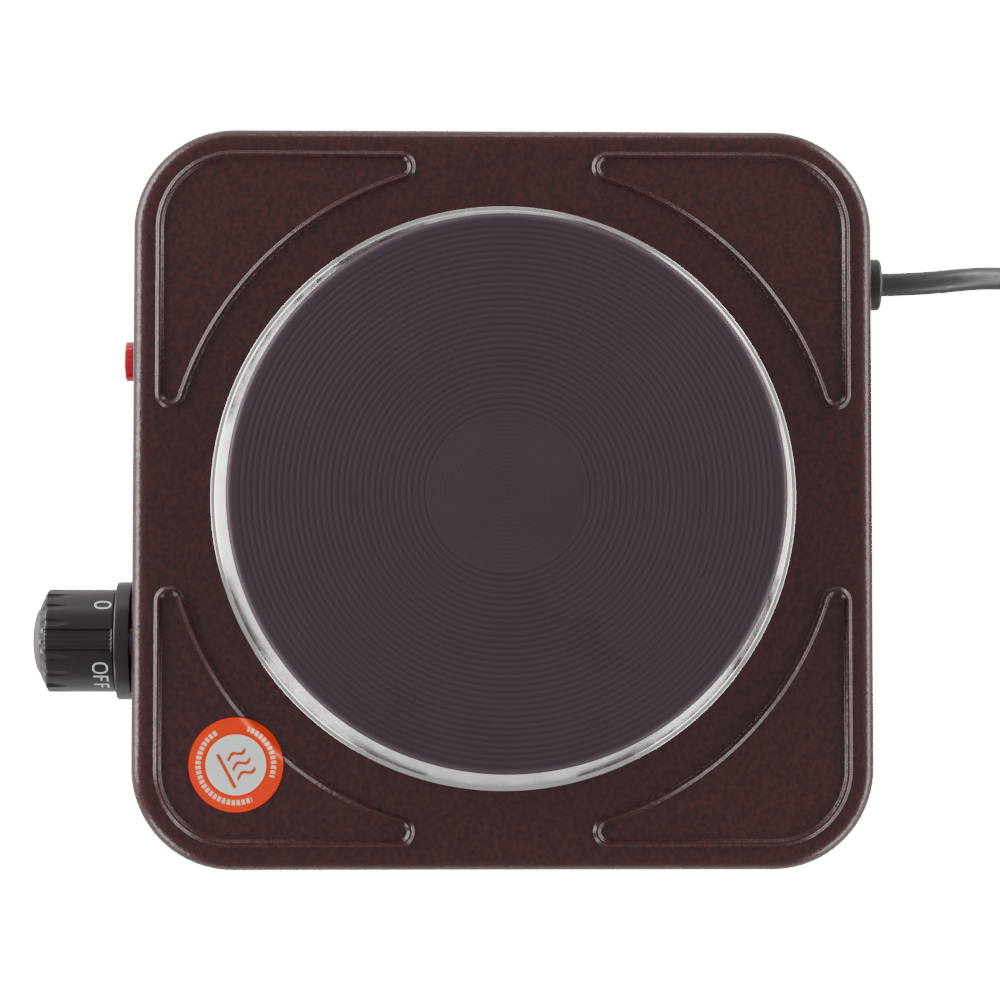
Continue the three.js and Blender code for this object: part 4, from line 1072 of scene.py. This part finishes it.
def knob_sunk(angle, forward):
    """How far the knob's surface lies under its round, for its flutes and its channel."""
    from_front = knob_front - forward
    pitch = 2 * math.pi / flute_count
    off_flute = abs((angle - math.pi / 2 + pitch / 2) % pitch - pitch / 2) * knob_radius
    flute_number = round((angle - math.pi / 2) / pitch) % flute_count
    fading = max(0, 1 - from_front / flute_length)
    half_flute = 0.35 + 0.9 * fading
    flute = flute_depth * fading * (1 - smooth_step(off_flute, half_flute, half_flute + 0.35))
    off_channel = abs((angle - math.pi / 2 + math.pi) % (2 * math.pi) - math.pi) * knob_radius
    inside = 1 - smooth_step(off_channel, channel_width / 2 - 0.25, channel_width / 2)
    rib = 0.09 * (1 + math.cos(off_channel * 2 * math.pi / channel_rib_pitch))
    channel = (channel_depth - rib) * inside * smooth_step(forward, knob_back + 0.4, knob_back + 0.9)
    return channel if flute_number == 0 else max(channel, flute)


def knob_ring(radius, forward, sunk=True):
    """A ring of places round the knob, sunk where its flutes and its channel are."""
    ring = []
    for step in range(knob_spokes):
        angle = step * 2 * math.pi / knob_spokes
        reach = radius - (knob_sunk(angle, forward) if sunk else 0)
        ring.append(knob_place @ (spoke(reach, angle, forward) * mm))
    return ring


cap_seat = 29
knob_rings = [[knob_place @ Vector((0, 0, cap_seat * mm))], knob_ring(cap_radius + 0.4, cap_seat, False)]
knob_rings.append(knob_ring(cap_radius + 0.4, knob_front - 0.15, False))
knob_rings.append(knob_ring(cap_radius + 0.7, knob_front, False))
shoulder = [
    (cap_radius + 1, knob_front, 0.4), (knob_radius, knob_front - knob_shoulder, 1.4), (knob_radius, 27, 0),
]
for across, forward in softened(shoulder, 6)[1:-1]:
    knob_rings.append(knob_ring(across, forward, across > cap_radius + 2.4))
fluted = [27.4 - 0.6 * step for step in range(12)]
plain = [19.8, 18.5, 16, 13, 10.5, 8.5, 7.4, 7.2, 7, 6.8, 6.6]
knob_rings += [knob_ring(knob_radius, forward) for forward in fluted + plain]
knob_rings.append(knob_ring(knob_radius - 0.15, knob_back + 0.05, False))
knob_rings.append(knob_ring(knob_radius - 1.8, knob_back, False))
knob_rings.append([knob_place @ Vector((0, 0, knob_back * mm))])
knob_mesh = mesh_of("knob_grip", *through_rings(knob_rings))
place_piece("knob_grip", knob_mesh, plastic_finish, "knob", ["knob_body"], 50)

skirt_radius = 19.35
skirt_outline = [
    (skirt_radius, 1.2, 0.5), (skirt_radius, 6, 0.7), (17.9, 6, 0.3), (17.6, 5.8, 0.2), (6.8, 5.8, 0.2),
    (6.8, 4.5, 0), (17.2, 4.5, 0.4), (17.8, 3.6, 0.4), (17.8, 1.2, 0.2), (skirt_radius, 1.2, 0),
]
skirt_mesh = turned("knob_collar", skirt_outline, knob_place, 160)
place_piece("knob_collar", skirt_mesh, plastic_finish, "knob", ["knob_skirt"], 40)

cap_finish = Finish("cap_plastic", Specular_IOR_Level=0.4)
cap_cloud = cap_finish.noise(5, 4)
cap_finish.tint(cap_cloud, paint(70, 74, 74), paint(92, 96, 95))
cap_finish.roughen(cap_finish.noise(0.8, 4), 0.42, 0.6)
cap_finish.bumps(cap_finish.noise(0.35, 3), 0.02, 0.7)


def dome(radius, foot, height, steps):
    """The half outline of a domed face, from just inside its foot to the axis."""
    turns = [step / steps * math.pi / 2 for step in range(1, steps)]
    run = [(radius * math.cos(turn), foot + height * math.sin(turn), 0) for turn in turns]
    return [*run, (0, foot + height, 0)]


cap_outline = [
    (0, 29.3, 0), (cap_radius, 29.3, 0.2), (cap_radius, 30.6, 0.5), (11.6, 30.9, 0.2), (11.4, 30.5, 0.1),
    (11, 30.6, 0.2), *dome(11, 30.6, 2.9, 12),
]
cap_mesh = turned("knob_front", cap_outline, knob_place, 128)
place_piece("knob_front", cap_mesh, cap_finish, "knob", ["knob_cap"], 40)


ink_under = 0.01
ink_over = 0.05
ink_stroke = 0.58


def on_knob(across, forward, lift):
    """A place on the knob's round: millimetres round from its pointer line, and out from the wall."""
    angle = math.pi / 2 - across / knob_radius
    return knob_place @ (spoke(knob_radius + lift, angle, forward) * mm)


def inked_line(path, width):
    """A flat printed stroke along a path of (across, forward) places on the knob's round. A path that
    ends where it begins is one endless stroke."""
    endless = (path[0] - path[-1]).length < 1e-6
    run = path[:-1] if endless else path
    rings = []
    for i, here in enumerate(run):
        before = run[i - 1] if endless or i else here
        after = run[(i + 1) % len(run)] if endless or i < len(run) - 1 else here
        ahead = (after - before).normalized() * width / 2
        left, right = here + Vector((-ahead.y, ahead.x)), here - Vector((-ahead.y, ahead.x))
        corners = ((left, ink_under), (right, ink_under), (right, ink_over), (left, ink_over))
        rings.append([on_knob(*side, lift) for side, lift in corners])
    places, faces = through_rings(rings, endless)
    if not endless:
        faces += [(0, 1, 2, 3), tuple(len(places) - k for k in (1, 2, 3, 4))]
    return places, faces


def oval(across, forward, wide, tall):
    """The outline of a round figure, a little squarer than an ellipse."""
    path = []
    steps = 40
    for step in range(steps + 1):
        angle = step * 2 * math.pi / steps
        c, s = math.cos(angle), math.sin(angle)
        squarer = (abs(c) ** 2.6 + abs(s) ** 2.6) ** (-1 / 2.6)
        path.append(Vector((across + wide / 2 * c * squarer, forward + tall / 2 * s * squarer)))
    path[-1] = path[0].copy()
    return path


def bar_path(a, b):
    """A straight stroke's path from one place to another, in steps that follow the knob's round."""
    return [Vector(a).lerp(Vector(b), step / 6) for step in range(7)]


figure_tall = 4.5
figure_foot = 12.8
figure_head = figure_foot - figure_tall
strokes = [oval(-12.6, 9.9, 2.9, 4.9), oval(9.6, 10.5, 3.7, figure_tall)]
for across in (13.0, 17.0):
    strokes.append(bar_path((across, figure_foot), (across, figure_head - 0.25)))
    strokes.append(bar_path((across, figure_head), (across + 2.3, figure_head)))
    strokes.append(bar_path((across, figure_head + 2), (across + 1.9, figure_head + 2)))
ink_finish = Finish("printed_white", Roughness=0.5)
ink_cover = ink_finish.noise(0.5, 4)
ink_finish.tint(ink_cover, paint(206, 206, 208), paint(236, 236, 238))


def joined(parts):
    """Several (places, faces) pairs as one."""
    places, faces = [], []
    for part_places, part_faces in parts:
        faces += [[len(places) + corner for corner in face] for face in part_faces]
        places += part_places
    return places, faces


figures_mesh = mesh_of("knob_figures", *joined(inked_line(stroke, ink_stroke) for stroke in strokes))
place_piece("knob_figures", figures_mesh, ink_finish, "knob", (), 40)

# Three small light-grey blocks stand on the knob's shoulder, by its channel.
mark_wide = 1.5
mark_long = 0.8


def shoulder_pip(across, forward):
    """A small block on the knob's shoulder, its outer end drawn in."""
    reach = knob_radius - (1.6 if abs(across) > 2 else 2.6)
    rings = []
    for lift, shrink in ((-0.9, 1), (0.15, 1), (0.3, 0.6)):
        ring = []
        for side_x, side_y in square_corners:
            angle = math.pi / 2 - (across + side_x * mark_wide / 2 * shrink) / knob_radius
            place = spoke(reach + lift, angle, forward + side_y * mark_long / 2 * shrink)
            ring.append(knob_place @ (place * mm))
        rings.append(ring)
    places, faces = through_rings(rings)
    return places, [*faces, (3, 2, 1, 0), (8, 9, 10, 11)]


mark_finish = Finish("mark_plastic", Roughness=0.3)
mark_rub = mark_finish.noise(0.7, 3)
mark_finish.tint(mark_rub, paint(150, 152, 154), paint(196, 198, 200))
mark_spots = ((-3.3, 29.2), (0.6, 29.9), (4.0, 29.3))
marks_mesh = mesh_of("shoulder_pips", *joined(shoulder_pip(*spot) for spot in mark_spots))
place_piece("shoulder_pips", marks_mesh, mark_finish, "knob", (), 40)

# ------------------------------------------------------------------ spindle and thermostat
# Behind the knob a plated spindle turns in a brass bushing and presses a bimetal snap switch,
# whose leaves and ceramic spacers are riveted together on a steel frame screwed to the front wall.
for number in (1, 2, 3):
    dress(f"thermostat_insulator_{number}", ceramic_finish)
for number in (1, 2):
    dress(f"thermostat_screw_{number}", zinc_finish)
for node in ("thermostat_spindle", "thermostat_frame", "stack_rivet"):
    dress(node, zinc_finish)
for node in ("thermostat_bushing", "earth_screw", "contact_arm", "contact_arm_root", "contact_leaf"):
    dress(node, clip_finish)
bimetal_finish = Finish("bimetal_strip", Metallic=1.0)
heat_tint = bimetal_finish.noise(5, 3)
bimetal_finish.tint(heat_tint, paint(176, 120, 84), paint(196, 150, 100))
bimetal_finish.roughen(bimetal_finish.noise(0.8, 4), 0.28, 0.45)
dress("bimetal_strip", bimetal_finish)

# ------------------------------------------------------------------ pilot lamp
# A red lens of clear-grained plastic pushed into the front wall from outside, with a small domed
# head and fine ribs inside its edge that spread the light. Its holder clips on from behind.
lamp_x = -46
lamp_place = out_of_wall(lamp_x * mm, front, control_z * mm, -1)
lens_finish = Finish("red_lens", Roughness=0.16, Specular_IOR_Level=0.5)
lens_depth = lens_finish.noise(4, 2)
lens_x, _, lens_z = lens_finish.axes()
lens_clock = (lens_x - lamp_x * mm).direction_with(lens_z - control_z * mm)
lens_rib_count = 24
lens_ribs = (lens_clock * lens_rib_count).cosine() * 0.5 + 0.5
lens_red = lens_finish.mixed(lens_depth * 0.6 + lens_ribs * 0.3, paint(150, 0, 20), paint(205, 10, 44))
# The faint red emission is a painted glow in the lens.
lens_finish.set(Base_Color=lens_red, Emission_Color=(0.7, 0.005, 0.02), Emission_Strength=0.05)
lens_finish.bumps(lens_ribs, 0.03, 0.2)
lens_outline = [
    (0, -12, 0), (4.7, -12, 0.4), (4.7, 0.3, 0), (6.6, 0.3, 0.2), (6.6, 3.7, 0.5), (5.9, 3.8, 0.2),
    *dome(5.8, 3.75, 0.55, 8),
]
lens_mesh = turned("pilot_lens", lens_outline, lamp_place, 96)
place_piece("pilot_lens", lens_mesh, lens_finish, "housing", ["lamp_lens"], 40)
dress("lamp_holder", plug_finish)

# ------------------------------------------------------------------ strain-relief bush
# A black rubber-like bush snapped into the rear wall. Its flange and a short collar show outside;
# behind the wall its long tapered body grips the lead.
bush_place = out_of_wall(cord_x, rear, cord_z, 1)
bush_outline = [
    (4.2, -23.3, 0), (5.7, -23.3, 0.5), (8.2, -1.4, 0.4), (6.7, -1.3, 0.1), (6.7, 0.3, 0),
    (8.6, 0.3, 0.2), (8.6, 4.7, 0.7), (7.9, 5.4, 0.3), (6.2, 5.4, 0.3), (5.9, 5.1, 0.2),
    (4.8, 5.1, 0.4), (4.2, 4.6, 0.2), (4.2, -23.3, 0),
]
bush_finish = Finish("bush_nylon")
bush_cloud = bush_finish.noise(3, 4)
bush_finish.tint(bush_cloud, paint(24, 19, 23), paint(38, 32, 37))
bush_finish.roughen(bush_finish.noise(0.7, 3), 0.34, 0.52)
bush_finish.bumps(bush_finish.noise(0.5, 3), 0.02, 0.6)
bush_mesh = turned("lead_bush", bush_outline, bush_place, 96)
place_piece("lead_bush", bush_mesh, bush_finish, "housing", ["cord_bush"], 40)

# ------------------------------------------------------------------ wiring
# Stranded wires in heat-proof sleeves run from the lead to the element, the thermostat, the lamp
# and the earth screw on the base plate.
for name, dark, light, nodes in (
    ("brown_sleeve", paint(78, 50, 30), paint(104, 68, 42), ("live_wire", "switched_wire")),
    ("blue_sleeve", paint(30, 78, 148), paint(52, 104, 176), ("neutral_wire",)),
    ("green_sleeve", paint(92, 136, 34), paint(140, 176, 56), ("earth_wire",)),
    ("black_sleeve", paint(22, 22, 24), paint(42, 42, 44), ("lamp_lead_1", "lamp_lead_2")),
):
    sleeve_finish = Finish(name)
    weave = sleeve_finish.noise(0.9, 4)
    sleeve_finish.tint(weave, dark, light)
    sleeve_finish.roughen(weave, 0.42, 0.6)
    sleeve_finish.bumps(weave, 0.05, 0.6)
    for node in nodes:
        dress(node, sleeve_finish)
